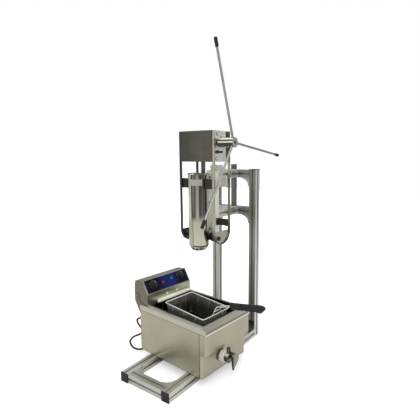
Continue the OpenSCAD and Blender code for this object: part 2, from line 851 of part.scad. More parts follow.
// Deck: a pan turned over, with its front sloped and its side edges broken.
module fryer_deck() {
    low = deck_height - skirt_h;
    edge = 6;
    module outside(wall) intersection() {
        across(wall, fryer_w - 2 * wall) polygon([
            [wall - front_step, low - wall], [wall - front_step, deck_front_z - wall],
            [tank_v - 6, deck_height - wall], [fryer_d - wall, deck_height - wall],
            [fryer_d - wall, low - wall]
        ]);
        translate([0, fryer_d + 1, 0]) rotate([90, 0, 0]) linear_extrude(fryer_d + front_step + 2)
            polygon([
                [wall, low - 2 * wall], [wall, deck_height - edge - wall], [wall + edge, deck_height - wall],
                [fryer_w - wall - edge, deck_height - wall], [fryer_w - wall, deck_height - edge - wall],
                [fryer_w - wall, low - 2 * wall]
            ]);
    }
    color("tan") fryer_frame() difference() {
        outside(0);
        outside(fryer_sheet);
        translate([tank_u, tank_v, low]) cube([tank_w, tank_l, skirt_h + 2]);
    }
}

module oil_tank()
    color("dimgray") fryer_frame() translate([tank_u, tank_v, deck_height]) difference() {
        union() {
            translate([0.4, 0.4, -tank_depth]) cube([tank_w - 0.8, tank_l - 0.8, tank_depth]);
            translate([-5, -5, 0]) cube([tank_w + 10, tank_l + 8, fryer_sheet]);
        }
        translate([fryer_sheet + 0.4, fryer_sheet + 0.4, fryer_sheet - tank_depth])
            cube([tank_w - 2 * fryer_sheet - 0.8, tank_l - 2 * fryer_sheet - 0.8, tank_depth + 5]);
        translate([drain_u - tank_u, drain_v - tank_v, -tank_depth - 1]) cylinder(d = drain_d - 4, h = 5);
    }

// ================= Control head =================

function head_points() = [
    [head_v, deck_height], [head_v, head_slope_z], [head_top_v, head_height],
    [head_back_v - 6, head_height - 5], [head_back_v, head_height - 30], [head_back_v, head_back_z],
    [fryer_d, head_low_z], [fryer_d, deck_height]
];
function shrunk(points, c, d) = [for (p = points) p + (c - p) * d / norm(c - p)];

module control_head()
    color("darkkhaki") fryer_frame() difference() {
        across(0, head_w) polygon(head_points());
        across(fryer_sheet, head_w - 2 * fryer_sheet)
            polygon(shrunk(head_points(), [head_back_v - 44, head_slope_z], 2));
        translate([20, head_v + 8, deck_height - 1]) cube([head_w - 40, fryer_d - head_v - 17, 6]);
    }

// Places a child on the sloping panel: across, and up along the slope.
module on_slope(u, up)
    translate([u, head_v, head_slope_z]) rotate([slope_ang, 0, 0]) translate([0, up, 0]) children();

module control_panel()
    color("navy") fryer_frame() on_slope(8, 2)
        cube([head_w - 16, slope_len - 4, panel_t]);

module knob(u, up)
    color("black") fryer_frame() on_slope(u, up) translate([0, 0, panel_t + 0.4]) {
        cylinder(d = 36, h = 6);
        translate([0, 0, 6]) cylinder(d = 28, h = 12);
        translate([-3, -15, 6]) cube([6, 30, 14]);
    }
module thermostat_knob() knob(50, 36);
module timer_knob() knob(216, 40);

module pilot_lamps()
    fryer_frame() {
        color("red") on_slope(106, 32) translate([0, 0, panel_t]) {
            cylinder(d = 16, h = 2);
            cylinder(d = 12, h = 7);
        }
        color("green") on_slope(160, 40) translate([0, 0, panel_t]) {
            cylinder(d = 16, h = 2);
            cylinder(d = 12, h = 7);
        }
    }

// Cover of the element's terminals: a round-nosed bar in front of the head.
module element_cover() {
    bar_d = 15;
    nose_v = head_v - 14;
    color("gainsboro") fryer_frame() translate([0, nose_v, deck_height + 3 + bar_d / 2]) {
        translate([64, 0, 0]) rotate([0, 90, 0]) cylinder(d = bar_d, h = 192);
        for (u = [64, 256]) translate([u, 0, 0]) sphere(d = bar_d);
        translate([64, 0, -bar_d / 2]) cube([192, 14, bar_d]);
    }
}

// Looped heating element that hangs from the cover to near the tank's floor.
module heating_element() {
    d = 8;
    back = head_v - 14;
    inner_back = back - 24;
    front = tank_v + 44;
    rows = [76, 112, 148, 184];
    color("silver") fryer_frame() {
        for (u = [rows[0], rows[3]])
            translate([u, back, element_z]) {
                cylinder(d = d, h = deck_height + 3 - element_z);
                rotate([90, 0, 0]) cylinder(d = d, h = back - front);
            }
        for (u = [rows[1], rows[2]])
            translate([u, inner_back, element_z]) rotate([90, 0, 0]) cylinder(d = d, h = inner_back - front);
        for (u = [rows[0], rows[2]])
            translate([u + 18, front, element_z]) rotate(180) rotate_extrude(angle = 180)
                translate([18, 0]) circle(d = d);
        translate([(rows[1] + rows[2]) / 2, inner_back, element_z]) rotate_extrude(angle = 180)
            translate([18, 0]) circle(d = d);
        for (u = [rows[0], rows[3]]) translate([u, back, element_z]) sphere(d = d);
    }
}

// ================= Basket =================

module basket_pose()
    fryer_frame() translate([basket_u, basket_v, basket_z]) rotate([basket_lean, 0, 0]) children();

module wire_loop(w, l, d, z) {
    corner = 14;
    for (s = [-1, 1]) {
        translate([-w / 2 + corner, s * l / 2, z]) rotate([0, 90, 0]) cylinder(d = d, h = w - 2 * corner);
        translate([s * w / 2, -l / 2 + corner, z]) rotate([-90, 0, 0]) cylinder(d = d, h = l - 2 * corner);
    }
    for (c = [[1, 1, 0], [-1, 1, 90], [-1, -1, 180], [1, -1, 270]])
        translate([c[0] * (w / 2 - corner), c[1] * (l / 2 - corner), z]) rotate(c[2])
            rotate_extrude(angle = 90) translate([corner, 0]) circle(d = d);
}

// Rim, foot loop, uprights, the two wires that rise to the handle and the hook that
// hangs from them over the tank's front edge.
module basket_frame() {
    foot_w = basket_w - 16;
    foot_l = basket_l - 16;
    color("silver") {
        basket_pose() {
            wire_loop(basket_w, basket_l, rim_wire, 0);
            wire_loop(foot_w, foot_l, basket_wire, 2 - basket_depth);
            for (s = [-1, 1], v = [-0.3, 0, 0.3])
                rod([s * basket_w / 2, v * basket_l, 0], [s * foot_w / 2, v * basket_l, 2 - basket_depth],
                    basket_wire);
            for (s = [-1, 1])
                rod([0.25 * basket_w, s * basket_l / 2, 0], [0.25 * basket_w, s * foot_l / 2, 2 - basket_depth],
                    basket_wire);
        }
        fryer_frame() {
            for (s = [-1, 1]) {
                foot = [basket_u + s * 24, basket_v - basket_l / 2 + 1, basket_z - basket_l / 2 * sin(basket_lean)];
                head = handle_start + [s * 8, -12, 2];
                bend = foot + 0.42 * (head - foot);
                rod(foot, head, basket_wire + 1);
                rod(bend, [bend[0], tank_v - 1, deck_height + fryer_sheet + hook_d / 2 + 0.3], hook_d);
            }
            hook_z = deck_height + fryer_sheet + hook_d / 2 + 0.3;
            bend_u = 24 + 0.42 * (8 - 24);
            across_u = bend_u + hook_d / 2;
            rod([basket_u - across_u, tank_v - 1, hook_z], [basket_u + across_u, tank_v - 1, hook_z], hook_d);
        }
    }
}

// Woven basket as a thin open box; its sides lean in towards the foot.
module basket_mesh() {
    wall = 1.2;
    module block(w, l, r, z) translate([0, 0, z]) linear_extrude(1)
        for (x = [-1, 1], y = [-1, 1])
            translate([x * (w / 2 - r), y * (l / 2 - r)]) circle(r, $fn = 32);
    top_in = rim_wire + 0.2;
    low_in = 16 + basket_wire + 1.5;
    module taper(cut) hull() {
        block(basket_w - top_in - cut, basket_l - top_in - cut, 10.9 - cut / 2, cut / 2 - 1);
        block(basket_w - low_in - cut, basket_l - low_in - cut, 10.9 - cut / 2, cut / 2 - basket_depth);
    }
    color("black") basket_pose() difference() {
        taper(0);
        translate([0, 0, 0.01]) taper(2 * wall);
    }
}

module handle_grip()
    color("black") fryer_frame() translate(handle_start) rotate([90 - handle_rise, 0, 0])
        rotate_extrude() polygon([
            [0, 0], [handle_d / 2 - 2, 0], [handle_d / 2, 3], [handle_d / 2, 34], [handle_d / 2 - 1.5, 44],
            [handle_d / 2 - 1.5, handle_length * 0.7], [handle_d / 2, handle_length - 34],
            [handle_d / 2, handle_length - 16], [handle_d / 2 - 5, handle_length - 4],
            [handle_d / 2 - 9, handle_length], [0, handle_length]
        ]);

// ================= Drain =================

module drain_valve()
    color("silver") fryer_frame() {
        stub = deck_height - tank_depth - drain_height;
        translate([drain_u, drain_v, deck_height - tank_depth]) mirror([0, 0, 1]) difference() {
            cylinder(d = drain_d, h = stub);
            translate([0, 0, -1]) cylinder(d = drain_d - 4, h = stub);
        }
        translate([drain_u, drain_v + drain_d / 2, drain_height]) rotate([90, 0, 0])
            cylinder(d = drain_d, h = drain_v + drain_d / 2 + 8);
        translate([drain_u, 0, drain_height]) rotate([90, 0, 0]) {
            translate([0, 0, 8]) rotate(22.5) cylinder(d1 = valve_nut_d, d2 = valve_nut_d - 6, h = 13, $fn = 8);
            difference() {
                cylinder(d = valve_d, h = -mouth_v);
                translate([0, 0, -mouth_v - 20]) cylinder(d = 28, h = 21);
                translate([0, 0, -1]) cylinder(d = valve_d + 1, h = 9);
            }
        }
        translate([drain_u, stem_v, drain_height + valve_d / 2 - 2]) cylinder(d = 14, h = 3);
    }

// Lever: a tall hub on the stem, an arm that reaches forward and a leaf-shaped blade.
module valve_lever() {
    arm_z = drain_height + valve_d / 2 + 1.3;
    color("silver") fryer_frame() {
        translate([drain_u, stem_v, arm_z]) cylinder(d = 18, h = 21);
        translate([drain_u - 8, blade_v, arm_z]) cube([16, stem_v - blade_v, 4]);
        translate([drain_u, blade_v, arm_z + 4]) rotate([90, 0, 0]) linear_extrude(4) polygon([
            [-19, 0], [13, 0], [26, -lever_length * 0.31], [19, -lever_length * 0.54],
            [-9, -lever_length], [-15, -lever_length * 0.97], [-20, -lever_length * 0.46]
        ]);
    }
}

// ================= Cord =================

module cord_gland()
    color("black") fryer_frame() translate([gland_u, fryer_d, gland_z]) rotate([-90, 0, 0])
        rotate_extrude() polygon([[0, 0], [10, 0], [10, 3], [7, 4], [cord_r + 0.8, 16], [0, 16]]);

module cord_lead()
    color("black") tube(lead_route, cord_r, 8);

// The coil spirals in, climbs a layer as it reverses, spirals out and runs to the plug.
function coil_radius(t) = coil_r - coil_step * (t < coil_reverse ? t : 2 * coil_reverse - t);
function coil_height(t) = cord_r + coil_step * min(1, max(0, 2 * (t - coil_reverse + 0.25)));
function coil_point(t) = [
    coil_x + coil_radius(t) * sin(360 * t),
    coil_y - coil_radius(t) * cos(360 * t),
    coil_height(t)
];
coil_steps = coil_turns * 24;
coil_end = coil_point(coil_turns);
plug_start = coil_end + [0, 44, plug_r - coil_end[2]];
coil_path = concat(
    [for (i = [0:coil_steps]) coil_point(i / 24)],
    [coil_end + [0, 14, 1], plug_start - [0, 14, 0.6], plug_start - [0, 7, 0], plug_start]
);

module cord_coil()
    color("black") tube(coil_path, cord_r, 6);

module cord_plug()
    color("black") translate(plug_start) rotate([-90, 0, 0]) {
        rotate_extrude() polygon([
            [0, 0], [cord_r + 1, 0], [7.5, 20], [11, 24], [plug_r - 2, 32], [plug_r, 38],
            [plug_r, 52], [0, 52]
        ]);
        for (s = [-1, 1]) translate([s * 9.5, 0, 51]) cylinder(d = 4.8, h = 20);
    }

// The least distance between turns that lie one or more turns apart, less the cord's diameter.
coil_gap = min([
    for (i = [0:len(coil_path) - 1], j = [0:len(coil_path) - 1])
        if (j > i + 12) norm(coil_path[i] - coil_path[j])
]) - cord_d;
echo(coil_gap = coil_gap);

// ================= Parts =================

base_rails();
base_crosses();
posts();
upper_beam();
lower_beam();
upper_arm();
lower_arm();
press_upright();
back_bar();
end_caps();
corner_gussets();
arm_brackets();
stand_bolts();
side_hoops();
gearbox_cover();
gearbox_sides();
gearbox_shell();
rack_guides();
shaft_bushes();
saddle_band();
back_tabs();
hoop_webs();
spine_plate();
head_bracket();
barrel();
barrel_cradle();
pivot_pins();
press_bolts();
pinion_shaft();
crank_hub();
crank_spokes();
spoke_grips();
rack();
piston();
piston_seal();
nozzle_nut();
nozzle_plate();
fryer_casing();
fryer_front();
fryer_floor();
fryer_deck();
oil_tank();
control_head();
control_panel();
thermostat_knob();
timer_knob();
pilot_lamps();
element_cover();
heating_element();
basket_frame();
basket_mesh();
handle_grip();
drain_valve();
valve_lever();
cord_gland();
cord_lead();
cord_coil();
cord_plug();
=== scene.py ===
import math
import bpy
import numpy as np
from mathutils import Matrix, Vector


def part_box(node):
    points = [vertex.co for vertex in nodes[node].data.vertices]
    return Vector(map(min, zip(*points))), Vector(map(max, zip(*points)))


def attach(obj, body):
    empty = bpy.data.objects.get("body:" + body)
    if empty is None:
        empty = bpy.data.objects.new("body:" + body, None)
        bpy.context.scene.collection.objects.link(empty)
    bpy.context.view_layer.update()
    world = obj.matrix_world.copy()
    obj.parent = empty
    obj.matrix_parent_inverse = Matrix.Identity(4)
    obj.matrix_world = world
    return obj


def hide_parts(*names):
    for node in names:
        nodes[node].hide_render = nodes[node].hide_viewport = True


# A churro maker dressed over its solids, in metres: X runs along the base towards the
# posts, the crank is on the -Y side and Z is up.

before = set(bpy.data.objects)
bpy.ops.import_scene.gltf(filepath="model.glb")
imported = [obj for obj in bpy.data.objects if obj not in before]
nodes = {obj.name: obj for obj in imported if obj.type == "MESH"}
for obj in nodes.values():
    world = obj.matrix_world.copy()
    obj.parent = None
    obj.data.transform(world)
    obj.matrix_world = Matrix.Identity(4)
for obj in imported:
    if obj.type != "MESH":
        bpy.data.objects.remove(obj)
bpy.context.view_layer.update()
scene = bpy.context.scene
print("frame loaded:", len(nodes), "nodes")

# The photograph's viewing point: turn from +Y towards +X, and tilt downwards.
view = {
    "at": Vector((-0.9608, -1.0632, 0.9388)), "turn": 0.9821, "tilt": 0.1311,
    "sensor": 36, "lens": 31.59, "shift": (-0.0576, -0.0126),
}


def makeCamera():
    turn, tilt = view["turn"], view["tilt"]
    forward = Vector((math.sin(turn) * math.cos(tilt), math.cos(turn) * math.cos(tilt), -math.sin(tilt)))
    rightward = Vector((math.cos(turn), -math.sin(turn), 0))
    upward = rightward.cross(forward)
    data = bpy.data.cameras.new("camera")
    data.sensor_width, data.lens = view["sensor"], view["lens"]
    data.shift_x, data.shift_y = view["shift"]
    camera = bpy.data.objects.new("camera", data)
    aim = Matrix((rightward, upward, -forward)).transposed().to_4x4()
    camera.matrix_world = Matrix.Translation(view["at"]) @ aim
    scene.collection.objects.link(camera)
    scene.camera = camera


makeCamera()

# Main places, in the solids' own frame.
barrel = {"at": (0.339, 0.0), "radius": 0.046, "foot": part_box("barrel")[0].z, "rim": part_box("barrel")[1].z}
crank = {"axis": np.array((0.356, -0.181, 0.997))}
fryer = {"at": np.array((0.1198, -0.1848, 0.04)), "turn": math.radians(-5.2)}
tap = {"across": 0.121, "height": 0.098}

# An axis is a direction with a shift, so that a place on it is a distance in metres.
alongX, alongY, alongZ = ((1, 0, 0), 0.0), ((0, 1, 0), 0.0), ((0, 0, 1), 0.0)


def fryerAxis(direction):
    return direction, -float(np.dot(direction, fryer["at"]))


acrossFryer = fryerAxis((math.cos(fryer["turn"]), math.sin(fryer["turn"]), 0))
intoFryer = fryerAxis((-math.sin(fryer["turn"]), math.cos(fryer["turn"]), 0))

# Where a shade begins or ends: a place in metres and half the width of its soft edge.
edge = {
    "nearPost": (-0.005, 0.005), "gussetFront": (0.445, 0.005), "gussetTop": (0.205, 0.005),
    "boltHeads": (0.4125, 0.0025), "farHoop": (0.0, 0.01), "hoopBend": (0.61, 0.025),
    "farWeb": (0.005, 0.005), "lowTabs": (0.71, 0.01), "cradleFoot": (0.601, 0.005),
    "lowBarrel": (0.675, 0.015), "barrelRim": (barrel["rim"] - 0.0055, 0.001),
    "barrelFoot": (barrel["foot"] + 0.005, 0.0005),
    "nutTop": (barrel["foot"] - 0.003, 0.0005), "hubCollar": (-0.112, 0.0005),
    "hubEnd": (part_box("crank_hub")[0].y + 0.0005, 0.0003),
    "casingSide": (0.0011, 0.0005), "underDeck": (0.2304, 0.0001), "casingFoot": (0.0418, 0.0004),
    "deckFront": (-0.0254, 0.0002), "deckRoll": (0.2376, 0.0004), "headFront": (0.3364, 0.0002),
    "belowPanel": (0.312, 0.004), "headCheek": (0.0007, 0.0003), "valveBody": (-0.0295, 0.0005),
    "valveMouth": (-0.027, 0.0005), "leverHub": (-0.071, 0.0005),
    "bladeEdge": (tap["across"] - 0.01025, 0.00175), "bladeTop": (0.12, 0.0015),
}
# Half the width between two shades, in metres.
half = {"plates": 0.0925, "saddle": 0.0495, "mouth": 0.01}
finish = {}


class Graph:
    # A material whose every texture is read in the object's own metres, kept in finish.
    def __init__(self, name, color, roughness, metallic=0.0):
        self.material = bpy.data.materials.new(name)
        self.material.use_nodes = True
        self.material.diffuse_color = (*color, 1)
        self.tree = self.material.node_tree
        self.tree.nodes.clear()
        self.shader = self.add("BsdfPrincipled")
        output = self.add("OutputMaterial")
        self.join(self.shader.outputs[0], output.inputs[0])
        self.set("Base Color", (*color, 1)).set("Roughness", roughness).set("Metallic", metallic)
        place = self.add("TexCoord")
        self.coordinates, self.normal = place.outputs["Object"], place.outputs["Normal"]
        finish[name] = self.material

    def add(self, kind, **settings):
        node = self.tree.nodes.new("ShaderNode" + kind)
        for key, value in settings.items():
            setattr(node, key, value)
        return node

    def join(self, source, target):
        self.tree.links.new(source, target)

    def set(self, socket, value):
        self.shader.inputs[socket].default_value = value
        return self

    def combine(self, operation, first, second=0.0):
        node = self.add("Math", operation=operation)
        for socket, value in zip(node.inputs, (first, second)):
            if isinstance(value, float):
                socket.default_value = value
            else:
                self.join(value, socket)
        return node.outputs[0]

    def both(self, first, second):
        return self.combine("MULTIPLY", first, second)

    def noise(self, scale, detail=3, stretch=(1, 1, 1), roughness=0.55):
        mapping = self.add("Mapping")
        mapping.inputs["Scale"].default_value = stretch
        self.join(self.coordinates, mapping.inputs["Vector"])
        node = self.add("TexNoise")
        node.inputs["Scale"].default_value = scale
        node.inputs["Detail"].default_value = detail
        node.inputs["Roughness"].default_value = roughness
        self.join(mapping.outputs[0], node.inputs["Vector"])
        return node.outputs[0]

    def ramp(self, value, stops):
        node = self.add("ValToRGB")
        elements = node.color_ramp.elements
        while len(elements) < len(stops):
            elements.new(0.5)
        for element, (place, color) in zip(elements, stops):
            element.position = place
            element.color = (*color, 1)
        self.join(value, node.inputs["Fac"])
        return node.outputs["Color"]

    def span(self, value, low, high, fromLow=0.3, fromHigh=0.7):
        # Carries the range from fromLow to fromHigh over to low and high, and stops there.
        node = self.add("MapRange")
        node.inputs["From Min"].default_value = fromLow
        node.inputs["From Max"].default_value = fromHigh
        node.inputs["To Min"].default_value = low
        node.inputs["To Max"].default_value = high
        self.join(value, node.inputs["Value"])
        return node.outputs[0]

    def dot(self, vector, direction):
        node = self.add("VectorMath", operation="DOT_PRODUCT")
        self.join(vector, node.inputs[0])
        node.inputs[1].default_value = direction
        return node.outputs["Value"]

    def along(self, axis):
        direction, shift = axis
        return self.combine("ADD", self.dot(self.coordinates, direction), shift)

    def past(self, axis, name):
        # 1 past an edge and 0 before it.
        place, soft = edge[name]
        return self.span(self.along(axis), 0, 1, place - soft, place + soft)

    def short(self, axis, name, most=1):
        # The most before an edge and 0 past it.
        place, soft = edge[name]
        return self.span(self.along(axis), most, 0, place - soft, place + soft)

    def between(self, value, low, high, soft=0.0005):
        rise = self.span(value, 0, 1, low - soft, low + soft)
        fall = self.span(value, 1, 0, high - soft, high + soft)
        return self.both(rise, fall)

    def facing(self, direction, low=0.8, high=0.9):
        # 1 where the surface faces a direction.
        return self.span(self.dot(self.normal, direction), 0, 1, low, high)

    def angle(self, centre, up):
        # Turn about a line through (X, up), from 0 to 1, and 0.5 towards -X.
        lengthwise = self.along(((-1, 0, 0), centre[0]))
        upright = self.along(([-float(k == up) for k in range(3)], centre[1]))
        return self.span(self.combine("ARCTAN2", upright, lengthwise), 0, 1, -math.pi, math.pi)

    def patch(self, mask, color):
        # Lays a colour over the present one where the mask is 1.
        target = self.shader.inputs["Base Color"]
        mix = self.add("Mix", data_type="RGBA")
        self.join(mask, mix.inputs["Factor"])
        self.join(target.links[0].from_socket, mix.inputs[6])
        if isinstance(color, tuple):
            mix.inputs[7].default_value = (*color, 1)
        else:
            self.join(color, mix.inputs[7])
        self.join(mix.outputs[2], target)
        return self

    def tones(self, value, dark, light, low=0.3, high=0.7):
        self.join(self.ramp(value, [(low, dark), (high, light)]), self.shader.inputs["Base Color"])
        return self

    def rough(self, value, low, high):
        self.join(self.span(value, low, high), self.shader.inputs["Roughness"])
        return self

    def bump(self, value, distance):
        node = self.add("Bump")
        node.inputs["Distance"].default_value = distance
        self.join(value, node.inputs["Height"])
        self.join(node.outputs[0], self.shader.inputs["Normal"])
        return self


def brushed(name, dark, light, lengthwise, smooth, coarse, metallic=1.0, depth=0.00002):
    # Long fine scratches: noise squeezed across the brushing and stretched along an axis, 0 to 2.
    graph = Graph(name, light, smooth, metallic)
    grain = graph.noise(900, 4, [0.03 if axis == lengthwise else 1 for axis in range(3)])
    mix = graph.add("Mix", data_type="FLOAT")
    mix.inputs["Factor"].default_value = 0.55
    graph.join(grain, mix.inputs["A"])
    graph.join(graph.noise(7), mix.inputs["B"])
    blended = mix.outputs["Result"]
    return graph.tones(blended, dark, light, 0.35, 0.62).rough(blended, smooth, coarse).bump(grain, depth)


def reflectionBanded(name, centre, up, bands, smooth, coarse):
    # Polished metal with painted reflections: light and dark stripes at angles in degrees from -X.
    graph = brushed(name, (0.3, 0.3, 0.26), (0.4, 0.4, 0.35), 3 - up, smooth, coarse, 1.0, 0.000006)
    stops = [(0.5 + place / 360, (tone, tone * 0.98, tone * 0.86)) for place, tone in bands]
    return graph.patch(graph.combine("ADD", 1.0), graph.ramp(graph.angle(centre, up), stops))


def moulded(name, dark, light, smooth, coarse, depth=0.00004, scale=1400):
    graph = Graph(name, light, smooth).set("Specular IOR Level", 0.25)
    cloud, grain = graph.noise(30, 4), graph.noise(scale, 2)
    return graph.tones(cloud, dark, light).rough(cloud, smooth, coarse).bump(grain, depth)


# Plain brushed metals: dark tone, light tone, axis of the brushing, least and most
# roughness and, where they aren't the usual ones, metallic share and depth of the scratches.
metals = {
    "pressSteel": ((0.38, 0.37, 0.31), (0.5, 0.49, 0.41), 2, 0.26, 0.4),
    "armAlloy": ((0.74, 0.73, 0.7), (0.9, 0.89, 0.86), 0, 0.32, 0.44, 0.7),
    "spokeSteel": ((0.22, 0.22, 0.2), (0.42, 0.42, 0.39), 2, 0.2, 0.34),
    "shellSteel": ((0.44, 0.44, 0.4), (0.58, 0.58, 0.54), 2, 0.26, 0.4),
    "uprightAlloy": ((0.84, 0.83, 0.72), (0.96, 0.95, 0.84), 2, 0.3, 0.42, 0.4),
    "blockSteel": ((0.66, 0.66, 0.62), (0.8, 0.8, 0.76), 0, 0.3, 0.42, 0.6),
    "machinedSteel": ((0.1, 0.1, 0.09), (0.2, 0.2, 0.18), 2, 0.28, 0.42),
    "blackSteel": ((0.03, 0.028, 0.024), (0.065, 0.06, 0.05), 2, 0.3, 0.5),
    "coverSteel": ((0.085, 0.08, 0.066), (0.125, 0.12, 0.1), 1, 0.3, 0.42),
    "boltSteel": ((0.16, 0.16, 0.15), (0.34, 0.34, 0.33), 0, 0.3, 0.45),
    "castAlloy": ((0.46, 0.46, 0.43), (0.62, 0.62, 0.58), 2, 0.38, 0.55, 1.0, 0.00004),
    # The rails, crosses and beams are one anodised aluminium in lit and shaded copies: the crosses carry
    # painted shade against the rails, and the beams a deeper painted shade.
    "anodisedX": ((0.58, 0.585, 0.53), (0.72, 0.725, 0.66), 0, 0.32, 0.44),
    "anodisedY": ((0.5, 0.505, 0.46), (0.62, 0.625, 0.57), 1, 0.32, 0.44),
    "shadedBeamAlloy": ((0.36, 0.355, 0.34), (0.5, 0.495, 0.47), 1, 0.32, 0.44),
    "chromeWire": ((0.8, 0.79, 0.75), (0.94, 0.93, 0.89), 2, 0.12, 0.22, 0.55),
    "darkWire": ((0.22, 0.215, 0.19), (0.38, 0.375, 0.335), 2, 0.25, 0.4),
    "tankSteel": ((0.01, 0.01, 0.009), (0.03, 0.029, 0.024), 2, 0.35, 0.55),
    "paleSteel": ((0.8, 0.78, 0.68), (0.92, 0.9, 0.8), 0, 0.24, 0.36, 0.1, 0.00001),
}
for name, values in metals.items():
    brushed(name, *values)

# Plastics, rubber and print: dark tone, light tone, least and most roughness, and the
# grain's depth and scale where they aren't the usual ones.
plastics = {
    "blackPlastic": ((0.012, 0.012, 0.012), (0.022, 0.022, 0.022), 0.42, 0.6),
    "blackRubber": ((0.012, 0.012, 0.012), (0.025, 0.025, 0.024), 0.6, 0.8, 0.00008, 900),
    "whitePrint": ((0.5, 0.52, 0.6), (0.62, 0.64, 0.72), 0.4, 0.5, 0.00001),
    "bareLabel": ((0.34, 0.325, 0.285), (0.42, 0.4, 0.355), 0.45, 0.6, 0.00001),
    "seamShade": ((0.02, 0.018, 0.012), (0.035, 0.03, 0.022), 0.7, 0.9, 0.00001),
    "greenLens": ((0.01, 0.1, 0.09), (0.02, 0.18, 0.16), 0.1, 0.2, 0.00001),
    "redLens": ((0.18, 0.02, 0.03), (0.32, 0.04, 0.05), 0.1, 0.2, 0.00001),
}
for name, values in plastics.items():
    moulded(name, *values)


# Finishes with a shade of their own in some places follow, one function for each group.
def finishPosts():
    # Painted light on the posts: the near post gets painted shade on its face towards -X and a painted
    # highlight on its face towards -Y, and the posts' anodised tone is a darker shaded copy of the rails'.
    graph = brushed("anodisedZ", (0.44, 0.44, 0.41), (0.6, 0.6, 0.56), 2, 0.32, 0.44)
    nearPost = graph.short(alongY, "nearPost")
    graph.patch(graph.both(nearPost, graph.facing((-1, 0, 0))), (0.38, 0.38, 0.345))
    graph.patch(graph.both(nearPost, graph.facing((0, -1, 0))), (0.72, 0.73, 0.69))


def finishGussets():
    # The gussets at the feet of the posts are in shade.
    graph = brushed("gussetAlloy", (0.46, 0.46, 0.43), (0.62, 0.62, 0.58), 2, 0.38, 0.55, 1.0, 0.00004)
    atPosts = graph.both(graph.past(alongX, "gussetFront"), graph.short(alongZ, "gussetTop"))
    graph.patch(atPosts, (0.07, 0.07, 0.062))


def finishHoops():
    # The far hoop and web are dark with painted shade, and painted shade darkens the bends towards the bottom.
    hoops = brushed("hoopSteel", (0.34, 0.33, 0.27), (0.48, 0.47, 0.39), 2, 0.26, 0.4)
    hoops.patch(hoops.past(alongY, "farHoop"), (0.07, 0.068, 0.055))
    hoops.patch(hoops.short(alongZ, "hoopBend", 0.75), (0.06, 0.058, 0.045))
    webs = brushed("webSteel", (0.38, 0.37, 0.31), (0.5, 0.49, 0.41), 2, 0.26, 0.4)
    webs.patch(webs.past(alongY, "farWeb"), (0.09, 0.088, 0.075))


def finishBack():
    # Pale bolts behind the gearbox, and painted shade on the lower tabs and the cradle's foot.
    bolts = brushed("pressBolts", (0.05, 0.045, 0.04), (0.09, 0.085, 0.07), 0, 0.3, 0.45)
    bolts.patch(bolts.past(alongX, "boltHeads"), (0.55, 0.54, 0.44))
    tabs = brushed("tabSteel", (0.84, 0.82, 0.76), (0.95, 0.93, 0.87), 1, 0.26, 0.4, 0.3)
    tabs.patch(tabs.short(alongZ, "lowTabs"), (0.055, 0.05, 0.04))
    cradle = brushed("cradleSteel", (0.42, 0.41, 0.34), (0.56, 0.55, 0.46), 2, 0.26, 0.4)
    cradle.patch(cradle.short(alongZ, "cradleFoot"), (0.05, 0.047, 0.036))


def finishPlates():
    # The side plates are dark inside with painted shade, and the saddle is paler with a painted highlight
    # where it goes round the barrel.
    plates = brushed("plateSteel", (0.72, 0.72, 0.675), (0.88, 0.88, 0.83), 2, 0.26, 0.4)
    inside = plates.between(plates.along(alongY), -half["plates"], half["plates"])
    plates.patch(inside, (0.05, 0.048, 0.042))
    saddle = brushed("saddleSteel", (0.03, 0.028, 0.024), (0.065, 0.06, 0.05), 2, 0.3, 0.5)
    roundPart = saddle.between(saddle.along(alongY), -half["saddle"], half["saddle"])
    saddle.patch(roundPart, (0.13, 0.125, 0.1))


# Painted reflections on round pieces: angle in degrees from -X, and tone.
paintedReflections = {
    "barrel": [
        (-60, 0.9), (-10, 0.95), (-5, 0.08), (3, 0.12), (14, 0.09), (21, 0.25), (31, 0.62), (38, 0.5),
        (43, 0.1), (53, 0.13), (61, 0.2), (68, 0.17), (78, 0.11), (84, 0.07), (90, 0.6), (98, 0.3),
        (110, 0.5), (128, 0.6),
    ],
    "nut": [
        (-30, 0.5), (0, 0.3), (12, 0.75), (38, 0.6), (50, 0.12), (58, 0.5), (66, 0.12), (76, 0.6), (90, 0.4),
    ],
    "hub": [
        (-100, 0.3), (-62, 0.5), (-40, 0.75), (-30, 0.1), (-16, 0.2), (-6, 0.7), (2, 0.5), (8, 0.05),
        (38, 0.08), (52, 0.2), (75, 0.3), (100, 0.2),
    ],
}
# Painted reflections on the barrel's lower part: angle from 0 to 1, and colour.
lowPaintedReflections = [
    (0.35, (0.58, 0.57, 0.46)), (0.49, (0.58, 0.57, 0.46)), (0.51, (0.22, 0.21, 0.14)),
    (0.53, (0.58, 0.55, 0.43)), (0.56, (0.62, 0.59, 0.47)), (0.715, (0.6, 0.57, 0.46)),
    (0.745, (0.1, 0.09, 0.06)), (0.765, (0.12, 0.11, 0.07)), (0.785, (0.55, 0.54, 0.44)),
    (0.9, (0.48, 0.46, 0.38)),
]


def finishBarrel():
    # Painted reflections make a paler lower part with a wavy edge, a painted highlight makes a bright rim, and
    # painted shade makes a dark foot.
    graph = reflectionBanded("barrelSteel", barrel["at"], 1, paintedReflections["barrel"], 0.14, 0.22)
    turn = graph.angle(barrel["at"], 1)
    wave = graph.both(graph.noise(14, 1), 0.03)
    height, (place, soft) = graph.combine("ADD", graph.along(alongZ), wave), edge["lowBarrel"]
    low = graph.span(height, 1, 0, place - soft, place + soft)
    graph.patch(low, graph.ramp(turn, lowPaintedReflections))
    graph.patch(graph.past(alongZ, "barrelRim"), (0.62, 0.61, 0.56))
    foot = graph.both(graph.between(turn, 0.51, 0.77, 0.01), graph.short(alongZ, "barrelFoot"))
    graph.patch(foot, (0.07, 0.062, 0.042))


